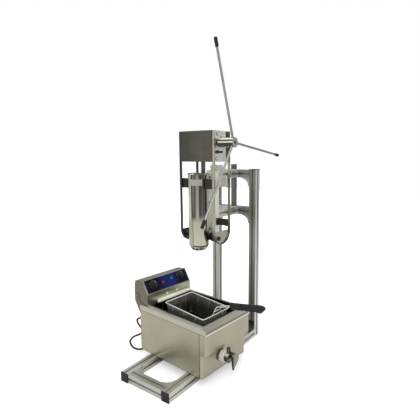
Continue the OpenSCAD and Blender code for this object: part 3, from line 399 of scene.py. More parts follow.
def finishNut():
    # Painted reflections round the nut, and painted shade along its top edge under the barrel.
    graph = reflectionBanded("nutSteel", barrel["at"], 1, paintedReflections["nut"], 0.16, 0.26)
    graph.patch(graph.past(alongZ, "nutTop"), (0.12, 0.11, 0.08))


def finishHub():
    # Painted reflections round the hub, painted shade makes the inner collar dark, and a painted highlight
    # makes the outer end pale.
    graph = reflectionBanded("hubSteel", (crank["axis"][0], crank["axis"][2]), 2, paintedReflections["hub"], 0.18, 0.28)
    graph.patch(graph.past(alongY, "hubCollar"), (0.03, 0.028, 0.024))
    graph.patch(graph.short(alongY, "hubEnd"), (0.62, 0.61, 0.56))


def finishCasing(name, lengthwise, seam):
    # Brushed casing with dark joints at the seam, under the deck and at the foot.
    joint = (0.035, 0.033, 0.02)
    graph = brushed(name, (0.41, 0.385, 0.295), (0.49, 0.46, 0.355), lengthwise, 0.26, 0.38)
    underDeck = graph.both(graph.short(acrossFryer, "casingSide"), graph.past(alongZ, "underDeck"))
    graph.patch(graph.between(graph.along(intoFryer), *seam, 0.0001), joint)
    graph.patch(underDeck, joint)
    graph.patch(graph.short(alongZ, "casingFoot"), joint)


def finishDeck():
    # The front slopes down to a bright rolled edge: painted shade on the slope and a painted highlight on the
    # edge.
    graph = brushed("deckSteel", (0.5, 0.485, 0.4), (0.58, 0.56, 0.46), 0, 0.26, 0.36)
    front = graph.short(intoFryer, "deckFront")
    graph.patch(graph.both(front, graph.past(alongZ, "deckRoll")), (0.24, 0.235, 0.2))
    graph.patch(graph.both(front, graph.short(alongZ, "deckRoll")), (0.8, 0.78, 0.66))


def finishHead():
    # The front face under the panel is greenish with a painted reflection, and the cheek towards the camera is
    # dark with painted shade.
    graph = brushed("headSteel", (0.3, 0.285, 0.22), (0.4, 0.38, 0.3), 0, 0.26, 0.38)
    face = graph.both(graph.short(intoFryer, "headFront"), graph.short(alongZ, "belowPanel"))
    graph.patch(face, (0.5, 0.53, 0.38))
    graph.patch(graph.short(acrossFryer, "headCheek"), (0.2, 0.188, 0.14))


def finishPanel():
    # Blue in the middle and nearly black at the ends, where the knobs' painted shade lies.
    width = 0.266
    graph = Graph("bluePanel", (0.01, 0.012, 0.09), 0.3).set("Specular IOR Level", 0.08)
    blues = [
        (0.02, (0.01, 0.016, 0.07)), (0.09, (0.001, 0.002, 0.006)), (0.28, (0.002, 0.003, 0.012)),
        (0.42, (0.01, 0.014, 0.11)), (0.64, (0.014, 0.02, 0.15)), (0.74, (0.002, 0.005, 0.022)),
        (0.97, (0.002, 0.006, 0.028)),
    ]
    share = graph.span(graph.along(acrossFryer), 0, 1, 0, width)
    graph.join(graph.ramp(share, blues), graph.shader.inputs["Base Color"])
    graph.rough(graph.noise(40), 0.26, 0.36)


def finishTap():
    # The valve's front part is dark, painted highlights brighten its upper faces, and painted shade makes its
    # mouth nearly black.
    graph = brushed("chromeValve", (0.66, 0.63, 0.57), (0.86, 0.82, 0.76), 2, 0.1, 0.22, 0.35)
    graph.patch(graph.short(intoFryer, "valveBody"), (0.07, 0.062, 0.05))
    graph.patch(graph.facing((0, 0, 1), 0.4, 0.8), (0.98, 0.95, 0.88))
    across, height, reach = tap["across"], tap["height"], half["mouth"]
    mouth = graph.both(
        graph.between(graph.along(acrossFryer), across - reach, across + reach),
        graph.between(graph.along(alongZ), height - reach, height + reach),
    )
    graph.patch(graph.both(mouth, graph.short(intoFryer, "valveMouth")), (0.008, 0.007, 0.005))


def finishLever():
    # The arm and hub are darker than the blade, whose left edge is nearly black with painted shade.
    graph = brushed("leverSteel", (0.26, 0.255, 0.21), (0.4, 0.39, 0.33), 2, 0.22, 0.34)
    graph.patch(graph.past(intoFryer, "leverHub"), (0.12, 0.115, 0.095))
    bladeEdge = graph.both(graph.short(acrossFryer, "bladeEdge"), graph.short(alongZ, "bladeTop"))
    graph.patch(bladeEdge, (0.03, 0.028, 0.022))


finishPosts()
finishGussets()
finishHoops()
finishBack()
finishPlates()
finishBarrel()
finishNut()
finishHub()
finishCasing("fryerSteel", 1, (0.0, 0.0148))
finishCasing("frontSteel", 0, (0.0122, 0.02))
finishDeck()
finishHead()
finishPanel()
finishTap()
finishLever()

paint = {
    "anodisedX": ["base_rails"],
    "anodisedY": ["base_crosses"],
    "anodisedZ": ["posts"],
    "shadedBeamAlloy": ["upper_beam", "lower_beam"],
    "armAlloy": ["upper_arm", "lower_arm"],
    "uprightAlloy": ["press_upright", "spine_plate"],
    "gussetAlloy": ["corner_gussets"],
    "castAlloy": ["arm_brackets", "piston"],
    "boltSteel": ["stand_bolts"],
    "machinedSteel": ["back_bar", "shaft_bushes", "pinion_shaft", "rack", "heating_element"],
    "blackSteel": ["rack_guides", "pivot_pins"],
    "hoopSteel": ["side_hoops"],
    "coverSteel": ["gearbox_cover"],
    "plateSteel": ["gearbox_sides"],
    "shellSteel": ["gearbox_shell", "head_bracket"],
    "saddleSteel": ["saddle_band"],
    "tabSteel": ["back_tabs"],
    "webSteel": ["hoop_webs"],
    "barrelSteel": ["barrel"],
    "cradleSteel": ["barrel_cradle"],
    "pressBolts": ["press_bolts"],
    "hubSteel": ["crank_hub"],
    "spokeSteel": ["crank_spokes"],
    "nutSteel": ["nozzle_nut"],
    "pressSteel": ["nozzle_plate"],
    "fryerSteel": ["fryer_casing", "fryer_floor"],
    "frontSteel": ["fryer_front"],
    "deckSteel": ["fryer_deck"],
    "tankSteel": ["oil_tank"],
    "headSteel": ["control_head"],
    "bluePanel": ["control_panel"],
    "redLens": ["pilot_lamps"],
    "chromeWire": ["element_cover", "basket_frame", "basket_mesh"],
    "chromeValve": ["drain_valve"],
    "leverSteel": ["valve_lever"],
    "blackPlastic": ["end_caps", "thermostat_knob", "timer_knob", "handle_grip"],
    "blackRubber": ["spoke_grips", "piston_seal", "cord_gland", "cord_lead", "cord_coil", "cord_plug"],
}
for name, painted in paint.items():
    for node in painted:
        materials = nodes[node].data.materials
        materials.clear()
        materials.append(finish[name])
print("materials on", sum(len(painted) for painted in paint.values()), "nodes")


def makePiece(name, shape, look, stands=(), body="machine", smooth=True):
    points, faces = shape
    mesh = bpy.data.meshes.new(name)
    mesh.from_pydata([tuple(map(float, p)) for p in points], [], [tuple(map(int, f)) for f in faces])
    mesh.materials.append(finish[look])
    mesh.validate()
    mesh.polygons.foreach_set("use_smooth", [smooth] * len(mesh.polygons))
    mesh.update()
    piece = bpy.data.objects.new(name, mesh)
    scene.collection.objects.link(piece)
    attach(piece, body)
    if stands:
        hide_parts(*stands)
    return piece


# Every shape is a pair of points and faces.
def joined(shapes):
    points, faces, start = [], [], 0
    for somePoints, someFaces in shapes:
        points.append(somePoints)
        faces += [[i + start for i in face] for face in someFaces]
        start += len(somePoints)
    return np.vstack(points), faces


def skin(rings, closed=False):
    # Rings of equally many points as one surface, with flat ends unless it runs round.
    count, sides = len(rings), len(rings[0])
    faces = []
    for i in range(count if closed else count - 1):
        near, far = i * sides, (i + 1) % count * sides
        for k in range(sides):
            m = (k + 1) % sides
            faces.append((near + k, near + m, far + m, far + k))
    if not closed:
        faces.append(tuple(range(sides - 1, -1, -1)))
        faces.append(tuple((count - 1) * sides + k for k in range(sides)))
    return np.vstack(rings), faces


def boxShape(low, high):
    square = ((low[1], low[2]), (high[1], low[2]), (high[1], high[2]), (low[1], high[2]))
    corners = np.array([(x, y, z) for x in (low[0], high[0]) for y, z in square])
    return corners, [(3, 2, 1, 0), (4, 5, 6, 7), (0, 1, 5, 4), (1, 2, 6, 5), (2, 3, 7, 6), (3, 0, 4, 7)]


def anglesRound(count):
    return 2 * math.pi * np.arange(count) / count


def ellipse(side, other, count):
    # Points round the origin, from side towards other.
    angles = anglesRound(count)
    return np.cos(angles)[:, None] * side + np.sin(angles)[:, None] * other


def sideways(way):
    side = np.cross(way, (0.31, 0.17, 0.93))
    return side / np.linalg.norm(side)


def tube(path, radius, sides=12, closed=False):
    # Rings carried along the path without twist.
    path = np.asarray(path, float)
    heading = np.roll(path, -1, 0) - np.roll(path, 1, 0) if closed else np.gradient(path, axis=0)
    heading /= np.linalg.norm(heading, axis=1)[:, None]
    side = sideways(heading[0])
    rings = []
    for at, way in zip(path, heading):
        side = side - way * (side @ way)
        side /= np.linalg.norm(side)
        rings.append(at + radius * ellipse(side, np.cross(way, side), sides))
    return skin(rings, closed)


def turned(profile, at, way, sides=48):
    # A profile of (radius, distance) turned about a line from at along way.
    way = np.asarray(way, float) / np.linalg.norm(way)
    side = sideways(way)
    ring = ellipse(side, np.cross(way, side), sides)
    return skin([at + way * distance + radius * ring for radius, distance in profile])


def smoothPath(points, steps):
    # Catmull-Rom curve through the points.
    points = np.asarray(points, float)
    ends = np.vstack([2 * points[0] - points[1], points, 2 * points[-1] - points[-2]])
    path = []
    for i in range(1, len(ends) - 2):
        a, b, c, d = ends[i - 1 : i + 3]
        for t in np.arange(steps) / steps:
            bend = (2 * a - 5 * b + 4 * c - d) * t * t + (3 * b - a - 3 * c + d) * t**3
            path.append(0.5 * (2 * b + (c - a) * t + bend))
    path.append(points[-1])
    return np.array(path)


def level(across, into, height):
    # Points at one height.
    return np.column_stack([across, into, np.full(len(across), height)])


def fromFryer(points):
    # Points given across, into and up from the fryer's front left corner, in metres.
    return np.asarray(points, float) @ np.array((acrossFryer[0], intoFryer[0], alongZ[0])) + fryer["at"]


def fryerWay(direction):
    return fromFryer(direction) - fryer["at"]


cord = {
    "thick": 0.0085,
    "route": [
        (0.2266, 0.2162, 0.205), (0.2274, 0.225, 0.205), (0.2276, 0.235, 0.204), (0.224, 0.244, 0.199),
        (0.216, 0.249, 0.19), (0.207, 0.251, 0.179), (0.198, 0.251, 0.17), (0.188, 0.251, 0.167),
        (0.179, 0.252, 0.167), (0.174, 0.252, 0.163), (0.175, 0.252, 0.157), (0.178, 0.252, 0.147),
        (0.183, 0.251, 0.136), (0.19, 0.25, 0.125), (0.197, 0.25, 0.112), (0.2, 0.25, 0.099),
        (0.196, 0.25, 0.089), (0.185, 0.251, 0.086), (0.17, 0.252, 0.087), (0.157, 0.253, 0.088),
        (0.145, 0.254, 0.086), (0.136, 0.255, 0.081), (0.131, 0.256, 0.074), (0.131, 0.256, 0.066),
        (0.134, 0.255, 0.056), (0.14, 0.255, 0.045), (0.148, 0.254, 0.034), (0.159, 0.253, 0.024),
        (0.171, 0.252, 0.016), (0.184, 0.251, 0.01), (0.199, 0.25, 0.006), (0.215, 0.249, 0.00425),
        (0.232, 0.248, 0.00425), (0.255, 0.248, 0.00425), (0.28, 0.248, 0.00425), (0.305, 0.248, 0.00425),
        (0.328, 0.248, 0.00425), (0.345, 0.248, 0.00425),
    ],
    "coilAt": (0.345, 0.3), "coilRadius": 0.052, "step": 0.0091, "turns": 3.25, "reverse": 1.75,
    "perTurn": 24, "tieAt": (0.3044, 0.3, 0.0092), "tieReach": (0.01, 0.0083), "tieRadius": 0.0009,
}
# Profiles are lists of (radius, distance).
plug = {
    "reach": 0.044, "radius": 0.017, "pinApart": 0.0095,
    "profile": [
        (0.0046, 0.0), (0.0052, 0.0005), (0.0052, 0.003), (0.0047, 0.0034), (0.0047, 0.0048),
        (0.0056, 0.0052), (0.0056, 0.0085), (0.005, 0.009), (0.005, 0.0104), (0.0062, 0.0108),
        (0.0062, 0.0145), (0.0056, 0.015), (0.0056, 0.0165), (0.007, 0.018), (0.0087, 0.0215),
        (0.0112, 0.025), (0.0128, 0.028), (0.0151, 0.0325), (0.0165, 0.0365), (0.017, 0.04), (0.017, 0.05),
        (0.0166, 0.0512), (0.0158, 0.052),
    ],
    "pin": [(0.0024, 0.051), (0.0024, 0.0685), (0.0019, 0.0705), (0.001, 0.071)],
}
gland = {
    "at": (0.07, 0.393, 0.165),
    "profile": [
        (0.01, 0.0), (0.01, 0.0022), (0.0094, 0.003), (0.0072, 0.0034), (0.0066, 0.0046),
        (0.0068, 0.0056), (0.0061, 0.0064), (0.0063, 0.0078), (0.0057, 0.0086), (0.0059, 0.01),
        (0.0053, 0.0108), (0.0055, 0.0122), (0.005, 0.013), (0.0051, 0.0146), (0.0047, 0.016),
    ],
}


def coilPoint(t):
    # Spirals in for some turns, climbs a layer as it reverses, and spirals out.
    x, y = cord["coilAt"]
    inward = t if t < cord["reverse"] else 2 * cord["reverse"] - t
    radius = cord["coilRadius"] - cord["step"] * inward
    layer = min(1, max(0, 2 * (t - cord["reverse"] + 0.25)))
    turn = 2 * math.pi * t
    return x + radius * math.sin(turn), y - radius * math.cos(turn), cord["thick"] / 2 + cord["step"] * layer


def makeCord():
    perTurn = cord["perTurn"]
    coil = [coilPoint(i / perTurn) for i in range(1, round(cord["turns"] * perTurn) + 1)]
    coilEnd = np.array(coil[-1])
    plugAt = coilEnd + (0, plug["reach"], plug["radius"] - coilEnd[2])
    toPlug = [coilEnd + (0, 0.014, 0.001), plugAt - (0, 0.014, 0.0006), plugAt - (0, 0.007, 0), plugAt]
    path = np.vstack([smoothPath(cord["route"], 4), coil, toPlug])
    path[:, 2] = np.maximum(path[:, 2], cord["thick"] / 2)
    wire = tube(path, cord["thick"] / 2)
    lead = makePiece("mainsCord", wire, "blackRubber", ("cord_lead", "cord_coil"))
    body = turned(plug["profile"], plugAt, alongY[0])
    plugBody = makePiece("plugBody", body, "blackRubber", ("cord_plug",))
    pins = [turned(plug["pin"], plugAt + (side * plug["pinApart"], 0, 0), alongY[0], 20) for side in (-1, 1)]
    plugPins = makePiece("plugPins", joined(pins), "chromeWire")
    collar = turned(gland["profile"], fromFryer(gland["at"]), intoFryer[0], 32)
    makePiece("cordGland", collar, "blackPlastic", ("cord_gland",))
    wide, tall = cord["tieReach"]
    tiePath = cord["tieAt"] + ellipse(np.array((wide, 0, 0)), np.array((0, 0, tall)), 24)
    tieWire = tube(tiePath, cord["tieRadius"], 8, True)
    tie = makePiece("coilTie", tieWire, "blackPlastic")


makeCord()
print("cord made")

# The basket's own axes lean with it; its depth is measured down from the rim.
basket = {
    "at": np.array((0.152, 0.174, 0.222)), "lean": math.radians(3.8),
    "halfWidth": 0.0813, "halfLength": 0.1178, "depth": 0.0955, "taper": 0.00765, "corner": 0.0104,
    "pitch": 0.0052, "ring": 0.0006, "strand": 0.0004, "floorAt": 0.0925,
    "rim": (0.085, 0.1215), "rimRadius": 0.003, "foot": (0.077, 0.1135), "footRadius": 0.002, "footAt": 0.094,
    "uprightTop": (0.0835, 0.12), "uprightAlong": 0.0729, "uprightAcross": 0.0425, "uprightRadius": 0.0017,
    "bracketRadius": 0.0023, "rodRadius": 0.002, "rodReach": 0.023,
    "bracket": [
        (0.026, 0.0535, 0.2135), (0.022, 0.05, 0.228), (0.015, 0.044, 0.2455), (0.01, 0.034, 0.2535),
        (0.008, 0.01, 0.2585), (0.008, -0.0405, 0.2735),
    ],
}


def fromBasket(points):
    c, s = math.cos(basket["lean"]), math.sin(basket["lean"])
    lean = np.array(((1, 0, 0), (0, c, s), (0, -s, c)))
    return fromFryer(np.asarray(points, float) @ lean + basket["at"])


def roundedLoop(halfWidth, halfLength, corner, pitch):
    # Points round a rectangle with round corners, about a pitch apart.
    points = []
    for signU, signV, first in ((1, 1, 0), (-1, 1, 90), (-1, -1, 180), (1, -1, 270)):
        centre = np.array((signU * (halfWidth - corner), signV * (halfLength - corner)))
        for k in range(5):
            angle = math.radians(first + 90 * k / 4)
            points.append(centre + corner * np.array((math.cos(angle), math.sin(angle))))
    points = np.array(points + points[:1])
    run = np.concatenate([[0], np.cumsum(np.linalg.norm(np.diff(points, axis=0), axis=1))])
    count = round(run[-1] / pitch)
    places = run[-1] * np.arange(count) / count
    return np.stack([np.interp(places, run, column) for column in points.T], 1)


def wallLoop(depth, count=None):
    # One level of the basket's wall, which leans in as it goes down.
    inward = basket["taper"] * depth / basket["depth"]
    halfWidth, halfLength = basket["halfWidth"] - inward, basket["halfLength"] - inward
    loop = roundedLoop(halfWidth, halfLength, basket["corner"], basket["pitch"])
    if count:
        whole = np.vstack([loop, loop[:1]])
        places = np.arange(count) * len(loop) / count
        loop = np.stack([np.interp(places, np.arange(len(whole)), column) for column in whole.T], 1)
    return level(*loop.T, -depth)


def makeWeave():
    count, pitch, floorAt = len(wallLoop(0)), basket["pitch"], basket["floorAt"]
    wires = []
    for depth in np.linspace(0.002, floorAt, round(basket["depth"] / pitch)):
        wires.append(tube(fromBasket(wallLoop(depth, count)), basket["ring"], 4, True))
    ends = zip(wallLoop(0.0, count), wallLoop(floorAt, count))
    strands = [(top, 0.5 * (top + foot), foot) for top, foot in ends]
    halfWidth, halfLength = basket["halfWidth"] - basket["taper"], basket["halfLength"] - basket["taper"]
    endU, endV = halfWidth - 0.001, halfLength - 0.001
    for u in np.arange(-halfWidth + 0.004, halfWidth - 0.003, pitch):
        strands.append([(u, -endV, -floorAt), (u, endV, -floorAt)])
    for v in np.arange(-halfLength + 0.004, halfLength - 0.003, pitch):
        strands.append([(-endU, v, -floorAt), (endU, v, -floorAt)])
    wires += [tube(fromBasket(strand), basket["strand"], 4) for strand in strands]
    makePiece("basketWeave", joined(wires), "darkWire", ("basket_mesh",), "basket")


def frameLoop(half, radius, depth):
    loop = roundedLoop(*half, 0.0105, 0.003)
    return tube(fromBasket(level(*loop.T, -depth)), radius, 12, True)


def makeFrame():
    # Rim, foot, uprights, and the bracket that rises to the handle.
    middle, footAt = basket["at"][0], basket["footAt"]
    upper = [frameLoop(basket["rim"], basket["rimRadius"], 0.0)]
    lower = [frameLoop(basket["foot"], basket["footRadius"], footAt)]
    topU, topV = basket["uprightTop"]
    footU, footV = basket["foot"]
    for side in (-1, 1):
        uprights = []
        for v in (-basket["uprightAlong"], 0.0, basket["uprightAlong"]):
            uprights.append([(side * topU, v, -0.002), (side * footU, v, -footAt)])
        u = basket["uprightAcross"]
        uprights.append([(u, side * topV, -0.002), (u, side * footV, -footAt)])
        lower += [tube(fromBasket(ends), basket["uprightRadius"], 10) for ends in uprights]
        bracket = [(middle + side * u, v, w) for u, v, w in basket["bracket"]]
        upper.append(tube(fromFryer(smoothPath(bracket, 6)), basket["bracketRadius"], 10))
    rod = [(middle + side * basket["rodReach"], 0.0495, 0.231) for side in (-1, 1)]
    upper.append(tube(fromFryer(rod), basket["rodRadius"], 10))
    makePiece("basketWires", joined(upper), "chromeWire", ("basket_frame",), "basket")
    makePiece("basketUprights", joined(lower), "darkWire", body="basket")


# The handle is taller than it is wide, with finger waves along its underside. Its stations
# are (distance, half width, reach above, reach below).
grip = {
    "from": np.array((0.152, -0.029, 0.272)), "rise": math.radians(10.5), "length": 0.1745,
    "waves": 6, "waveDepth": 0.0026, "wavesFrom": 0.02, "wavesTo": 0.14, "rows": 120, "around": 32,
    "stations": [
        (0, 0.0105, 0.0115, 0.0125), (0.003, 0.0128, 0.0135, 0.016), (0.02, 0.0132, 0.0135, 0.0172),
        (0.06, 0.0128, 0.013, 0.0165), (0.12, 0.0128, 0.013, 0.0168), (0.145, 0.0132, 0.0135, 0.0195),
        (0.153, 0.0132, 0.0135, 0.0195), (0.166, 0.011, 0.0115, 0.01), (0.173, 0.007, 0.0075, 0.0045),
        (0.1745, 0.0045, 0.005, 0.0025),
    ],
}


def makeGrip():
    rise, rows = grip["rise"], grip["rows"]
    outward = np.array((0, -math.cos(rise), math.sin(rise)))
    upward = np.array((0, math.sin(rise), math.cos(rise)))
    angles = anglesRound(grip["around"])
    columns = list(zip(*grip["stations"]))
    first, last = grip["wavesFrom"], grip["wavesTo"]
    rings = []
    for i in range(rows + 1):
        distance = grip["length"] * i / rows
        wide, above, below = (float(np.interp(distance, columns[0], column)) for column in columns[1:])
        if first < distance < last:
            turn = 2 * math.pi * grip["waves"] * (distance - first) / (last - first)
            below -= grip["waveDepth"] * (0.5 - 0.5 * math.cos(turn))
        height = np.sin(angles) * np.where(np.sin(angles) > 0, above, below)
        ring = np.outer(wide * np.cos(angles), (1, 0, 0)) + np.outer(height, upward)
        rings.append(grip["from"] + distance * outward + ring)
    points, faces = skin(rings)
    shape = (fromFryer(points), faces)
    makePiece("basketGrip", shape, "blackPlastic", ("handle_grip",), "basket")


makeWeave()
makeFrame()
makeGrip()
print("basket made")

# Each spoke leans outwards, away from the machine, by an angle of its own in degrees.
spoke = {
    "first": 112.5, "leans": (3.5, 0.3, 3.5), "start": 0.0135, "length": 0.415,
    "grip": 0.036, "gripRadius": 0.0075, "gripWaves": 7, "gripRows": 60,
}


def gripRadius(t):
    # Waves, a narrower start and a rounded end; t runs from 0 to 1 along the grip.
    radius = spoke["gripRadius"] * (0.93 + 0.07 * math.cos(2 * math.pi * spoke["gripWaves"] * t))
    if t < 0.06:
        radius *= 0.82 + 3 * t
    if t > 0.9:
        radius *= math.sqrt(max(0.04, 1 - ((t - 0.9) / 0.1) ** 2))
    return radius


def makeCrankGrips():
    rows = spoke["gripRows"]
    near = spoke["length"] - spoke["start"] - spoke["grip"]
    profile = [(gripRadius(i / rows), near + spoke["grip"] * i / rows) for i in range(rows + 1)]
    shapes = []
    for k, lean in enumerate(spoke["leans"]):
        angle, lean = math.radians(spoke["first"] - 120 * k), math.radians(lean)
        outward = np.array((math.cos(angle), 0, math.sin(angle)))
        way = outward * math.cos(lean) - np.array(alongY[0]) * math.sin(lean)
        shapes.append(turned(profile, crank["axis"] + outward * spoke["start"], way, 28))
    makePiece("crankGrips", joined(shapes), "blackRubber", ("spoke_grips",), "crank")


makeCrankGrips()
print("grips made")

# The panel slopes back as it rises. Places on it are given across and up the slope.
panel = {"at": np.array((0, 0.336, 0.275)), "slope": math.atan2(0.056, 0.035), "thick": 0.0025}
panelUp = np.array((0, math.cos(panel["slope"]), math.sin(panel["slope"])))
panelOut = np.array((0, -math.sin(panel["slope"]), math.cos(panel["slope"])))
knobs = {"thermostat": (0.05, 0.036), "timer": (0.216, 0.04)}
# The skirt's rings are (radius, height, depth of the flutes), the bar's levels (height, share).
knob = {
    "sides": 96, "flutes": 24,
    "rings": [
        (0.0178, 0.0004, 0), (0.018, 0.0012, 0), (0.018, 0.003, 0), (0.0172, 0.0055, 0),
        (0.0145, 0.0066, 0.0004), (0.0141, 0.008, 0.0005), (0.0138, 0.0165, 0.0005), (0.0128, 0.0178, 0.0002),
        (0.009, 0.0184, 0), (0.0002, 0.0185, 0),
    ],
    "barHalf": (0.0032, 0.0148), "barSides": 24, "barCorner": 1.35,
    "barLevels": [(0.007, 1.0), (0.0185, 0.96), (0.02, 0.84)],
    "pointer": [(-0.0007, 0.005, 0.0196), (0.0007, 0.0135, 0.0203)],
}
scale = {
    "ticks": 21, "sweep": 270, "radius": 0.0198, "long": 0.0045, "short": 0.0025, "longEvery": 5,
    "half": 0.0003, "relief": 0.00012,
}
lamps = {
    "red": (0.106, 0.032), "green": (0.16, 0.04),
    "profile": [
        (0.008, 0.0), (0.008, 0.0012), (0.0074, 0.002), (0.0062, 0.0022), (0.0061, 0.0048), (0.0055, 0.0062),
        (0.004, 0.0068), (0.0003, 0.0071),
    ],
}


def onPanel(points):
    # Points given across, up the slope and out from the panel's face.
    points = np.asarray(points, float)
    local = panel["at"] + points[..., :1] * np.array((1, 0, 0)) + points[..., 1:2] * panelUp
    return fromFryer(local + (points[..., 2:3] + panel["thick"]) * panelOut)


def knobShape(across, up):
    # A round skirt with fine flutes, a cap, and a bar to turn it by.
    angles, rings, bar = anglesRound(knob["sides"]), [], []
    for radius, height, flute in knob["rings"]:
        r = radius - flute * (0.5 - 0.5 * np.cos(knob["flutes"] * angles))
        rings.append(level(across + r * np.cos(angles), up + r * np.sin(angles), height))
    angles = anglesRound(knob["barSides"])
    u = np.clip(knob["barCorner"] * np.cos(angles), -1, 1)
    v = np.clip(knob["barCorner"] * np.sin(angles), -1, 1)
    wide, long = knob["barHalf"]
    for height, share in knob["barLevels"]:
        bar.append(level(across + wide * share * u, up + long * share * v, height))
    points, faces = joined([skin(rings), skin(bar)])
    return onPanel(points), faces


def pointerShape(across, up):
    points, faces = boxShape(*knob["pointer"])
    return onPanel(points + (across, up, 0)), faces


def scaleShape(across, up):
    # Short strokes round a knob, in relief by a hair.
    points, faces = [], []
    for k in range(scale["ticks"]):
        angle = math.radians(90 + scale["sweep"] / 2 - scale["sweep"] * k / (scale["ticks"] - 1))
        out = np.array((math.cos(angle), math.sin(angle)))
        side = np.array((-out[1], out[0]))
        near = scale["radius"]
        far = near + (scale["short"] if k % scale["longEvery"] else scale["long"])
        base = len(points)
        for r, s in ((near, -1), (near, 1), (far, 1), (far, -1)):
            points.append((*((across, up) + r * out + s * scale["half"] * side), scale["relief"]))
        faces.append(range(base, base + 4))
    return onPanel(points), faces


def makeKnobs():
    for body, at in knobs.items():
        name = body + "Knob"
        makePiece(name, knobShape(*at), "blackPlastic", (body + "_knob",), body)
        makePiece(name + "Pointer", pointerShape(*at), "whitePrint", body=body, smooth=False)
        makePiece(name + "Scale", scaleShape(*at), "whitePrint", smooth=False)


def makeLamps():
    for color, stands in (("red", ("pilot_lamps",)), ("green", ())):
        lamp = turned(lamps["profile"], onPanel((*lamps[color], 0.0)), fryerWay(panelOut), 32)
        makePiece(color + "Lamp", lamp, color + "Lens", stands)


makeKnobs()
makeLamps()
print("panel made")

# Small things on the control head, in the fryer's axes.
screw = {
    "profile": [(0.0056, 0.0), (0.0056, 0.0014), (0.0044, 0.0026), (0.0024, 0.0034), (0.0003, 0.0037)],
    "at": [(0.115, 0.336, 0.2515), (0.177, 0.336, 0.2515)],
}
rivet = {
    "profile": [(0.003, 0.0), (0.0028, 0.0008), (0.0018, 0.0014), (0.0003, 0.0016)],
    "at": [(0.0, 0.408, 0.233), (0.0, 0.408, 0.25)],
}
seam = {
    "radius": 0.0013,
    "path": [
        (0, 0.4285, 0.2665), (0, 0.41, 0.267), (0, 0.4005, 0.2645), (0, 0.3955, 0.257), (0, 0.3935, 0.245),
        (0, 0.391, 0.235), (0, 0.383, 0.2295), (0, 0.364, 0.2255), (0, 0.338, 0.2225),
    ],
}
coverBar = {
    "from": 0.046, "to": 0.254, "at": (0.3225, 0.235), "radius": 0.0085, "rows": 130,
    "webInset": 0.01, "webBack": 0.3362, "webHeights": (0.227, 0.2428),
}


def makeHeadParts():
    screws = [turned(screw["profile"], fromFryer(at), fryerWay((0, -1, 0)), 20) for at in screw["at"]]
    makePiece("headScrews", joined(screws), "paleSteel")
    rivets = [turned(rivet["profile"], fromFryer(at), fryerWay((-1, 0, 0)), 16) for at in rivet["at"]]
    makePiece("cheekRivets", joined(rivets), "fryerSteel")
    joint = tube(fromFryer(smoothPath(seam["path"], 4)), seam["radius"], 8)
    makePiece("cheekSeam", joint, "seamShade")


def makeCoverBar():
    # A round bar with domed ends, on a web that reaches the head.
    first, last, radius = coverBar["from"], coverBar["to"], coverBar["radius"]
    profile = []
    for i in range(coverBar["rows"] + 1):
        distance = (last - first) * i / coverBar["rows"]
        inside = max(0, 1 - min(distance, last - first - distance) / radius)
        profile.append((radius * math.sqrt(max(0.002, 1 - inside**2)), distance))
    v, w = coverBar["at"]
    rod = turned(profile, fromFryer((first, v, w)), fryerWay((1, 0, 0)), 28)
    inset, (low, high) = coverBar["webInset"], coverBar["webHeights"]
    points, faces = boxShape((first + inset, v, low), (last - inset, coverBar["webBack"], high))
    shape = joined([rod, (fromFryer(points), faces)])
    makePiece("coverBar", shape, "paleSteel", ("element_cover",))


makeHeadParts()
makeCoverBar()

# The block on top of the upright and the strip in front of it, by their corners.
topBlock = {
    "block": [(0.4555, -0.02, 0.871), (0.502, 0.02, 0.897)],
    "strip": [(0.431, -0.02, 0.8712), (0.442, -0.017, 0.974)],
    "edge": 0.0012,
}
# The bare plate of the label, between two angles from +X, in degrees.
label = {"relief": 0.00025, "from": 172, "to": 240, "heights": (0.8085, 0.8365), "steps": 24}


def makeTopBlock():
    shape = joined([boxShape(*topBlock["block"]), boxShape(*topBlock["strip"])])
    piece = makePiece("headBlock", shape, "blockSteel", stands=("head_bracket",), smooth=False)
    edges = piece.modifiers.new("edges", "BEVEL")
    edges.width, edges.segments = topBlock["edge"], 3


def makeLabel():
    steps, radius = label["steps"], barrel["radius"] + label["relief"]
    angles = np.radians(np.linspace(label["from"], label["to"], steps + 1))
    across, into = barrel["at"][0] + radius * np.cos(angles), radius * np.sin(angles)
    points = np.vstack([level(across, into, height) for height in label["heights"]])
    faces = [(k, k + 1, k + steps + 2, k + steps + 1) for k in range(steps)]
    makePiece("barrelLabel", (points, faces), "bareLabel")


makeTopBlock()
makeLabel()
print("small parts made")

# Soft boxes: place, size and power. All look at the middle of the machine.
lights = {
    "keyLight": ((-1.6, -1.4, 2.6), (1.6, 1.6), 27),
    "fillLight": ((1.4, -2.6, 1.5), (1.6, 1.6), 12),
    "leftLight": ((-2.4, 1.2, 1.2), (1.2, 2.0), 10),
    "topLight": ((0.4, 0.2, 3.0), (2.0, 2.0), 17),
}
stage = {"middle": Vector((0.3, 0, 0.5)), "reach": 8.0, "height": -0.0003, "light": 0.66}


def makeLight(name, at, size, power):
    data = bpy.data.lights.new(name, "AREA")
    data.shape = "RECTANGLE"
    data.size, data.size_y = size
    data.energy = power
    light = bpy.data.objects.new(name, data)
    aim = (stage["middle"] - Vector(at)).to_track_quat("-Z", "Y").to_matrix().to_4x4()
    light.matrix_world = Matrix.Translation(at) @ aim
    scene.collection.objects.link(light)


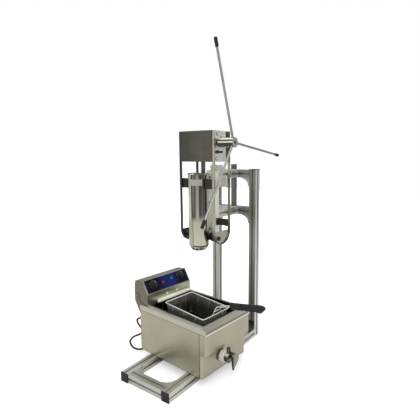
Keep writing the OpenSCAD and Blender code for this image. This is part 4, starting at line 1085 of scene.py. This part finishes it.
def makeFloor():
    # White paper that glows for the camera alone, more with distance from the machine.
    graph = Graph("floorPaper", (0.9, 0.9, 0.9), 0.9).set("Emission Color", (1, 1, 1, 1))
    away = graph.add("VectorMath", operation="LENGTH")
    graph.join(graph.coordinates, away.inputs[0])
    glow = graph.span(away.outputs["Value"], 0.42, 1.0, 0.9, 2.4)
    seen = graph.add("LightPath").outputs["Is Camera Ray"]
    graph.join(graph.both(glow, seen), graph.shader.inputs["Emission Strength"])
    graph.tones(graph.noise(3), (0.89, 0.89, 0.89), (0.91, 0.91, 0.91))
    reach, height = stage["reach"], stage["height"]
    corners = [(u * reach, v * reach, height) for u, v in ((-1, -1), (1, -1), (1, 1), (-1, 1))]
    mesh = bpy.data.meshes.new("floor")
    mesh.from_pydata(corners, [], [(0, 1, 2, 3)])
    mesh.materials.append(graph.material)
    floor = bpy.data.objects.new("floor", mesh)
    scene.collection.objects.link(floor)


def makeWorld():
    # White for the camera; for everything else the light fades from above to below.
    world = bpy.data.worlds.new("world")
    world.use_nodes = True
    scene.world = world
    tree = world.node_tree
    tree.nodes.clear()
    kinds = {
        "seen": "Background", "felt": "Background", "sky": "TexCoord", "split": "SeparateXYZ",
        "lift": "MapRange", "shade": "ValToRGB", "path": "LightPath", "either": "Math", "chosen": "MixShader",
        "out": "OutputWorld",
    }
    parts = {name: tree.nodes.new("ShaderNode" + kind) for name, kind in kinds.items()}
    parts["seen"].inputs["Color"].default_value = (1, 1, 1, 1)
    parts["felt"].inputs["Strength"].default_value = stage["light"]
    parts["lift"].inputs["From Min"].default_value = -1
    parts["either"].operation = "MAXIMUM"
    stops = ((0.35, (0.35, 0.35, 0.34, 1)), (0.8, (1, 1, 1, 1)))
    for element, (place, color) in zip(parts["shade"].color_ramp.elements, stops):
        element.position, element.color = place, color
    for source, output, target, entry in (
        ("sky", "Generated", "split", 0), ("split", "Z", "lift", "Value"), ("lift", 0, "shade", "Fac"),
        ("shade", "Color", "felt", "Color"), ("path", "Is Camera Ray", "either", 0),
        ("path", "Is Transmission Ray", "either", 1), ("either", 0, "chosen", 0), ("felt", 0, "chosen", 1),
        ("seen", 0, "chosen", 2), ("chosen", 0, "out", 0),
    ):
        tree.links.new(parts[source].outputs[output], parts[target].inputs[entry])


for name, values in lights.items():
    makeLight(name, *values)
makeFloor()
makeWorld()
scene.view_settings.view_transform = "Standard"
print("stage ready")
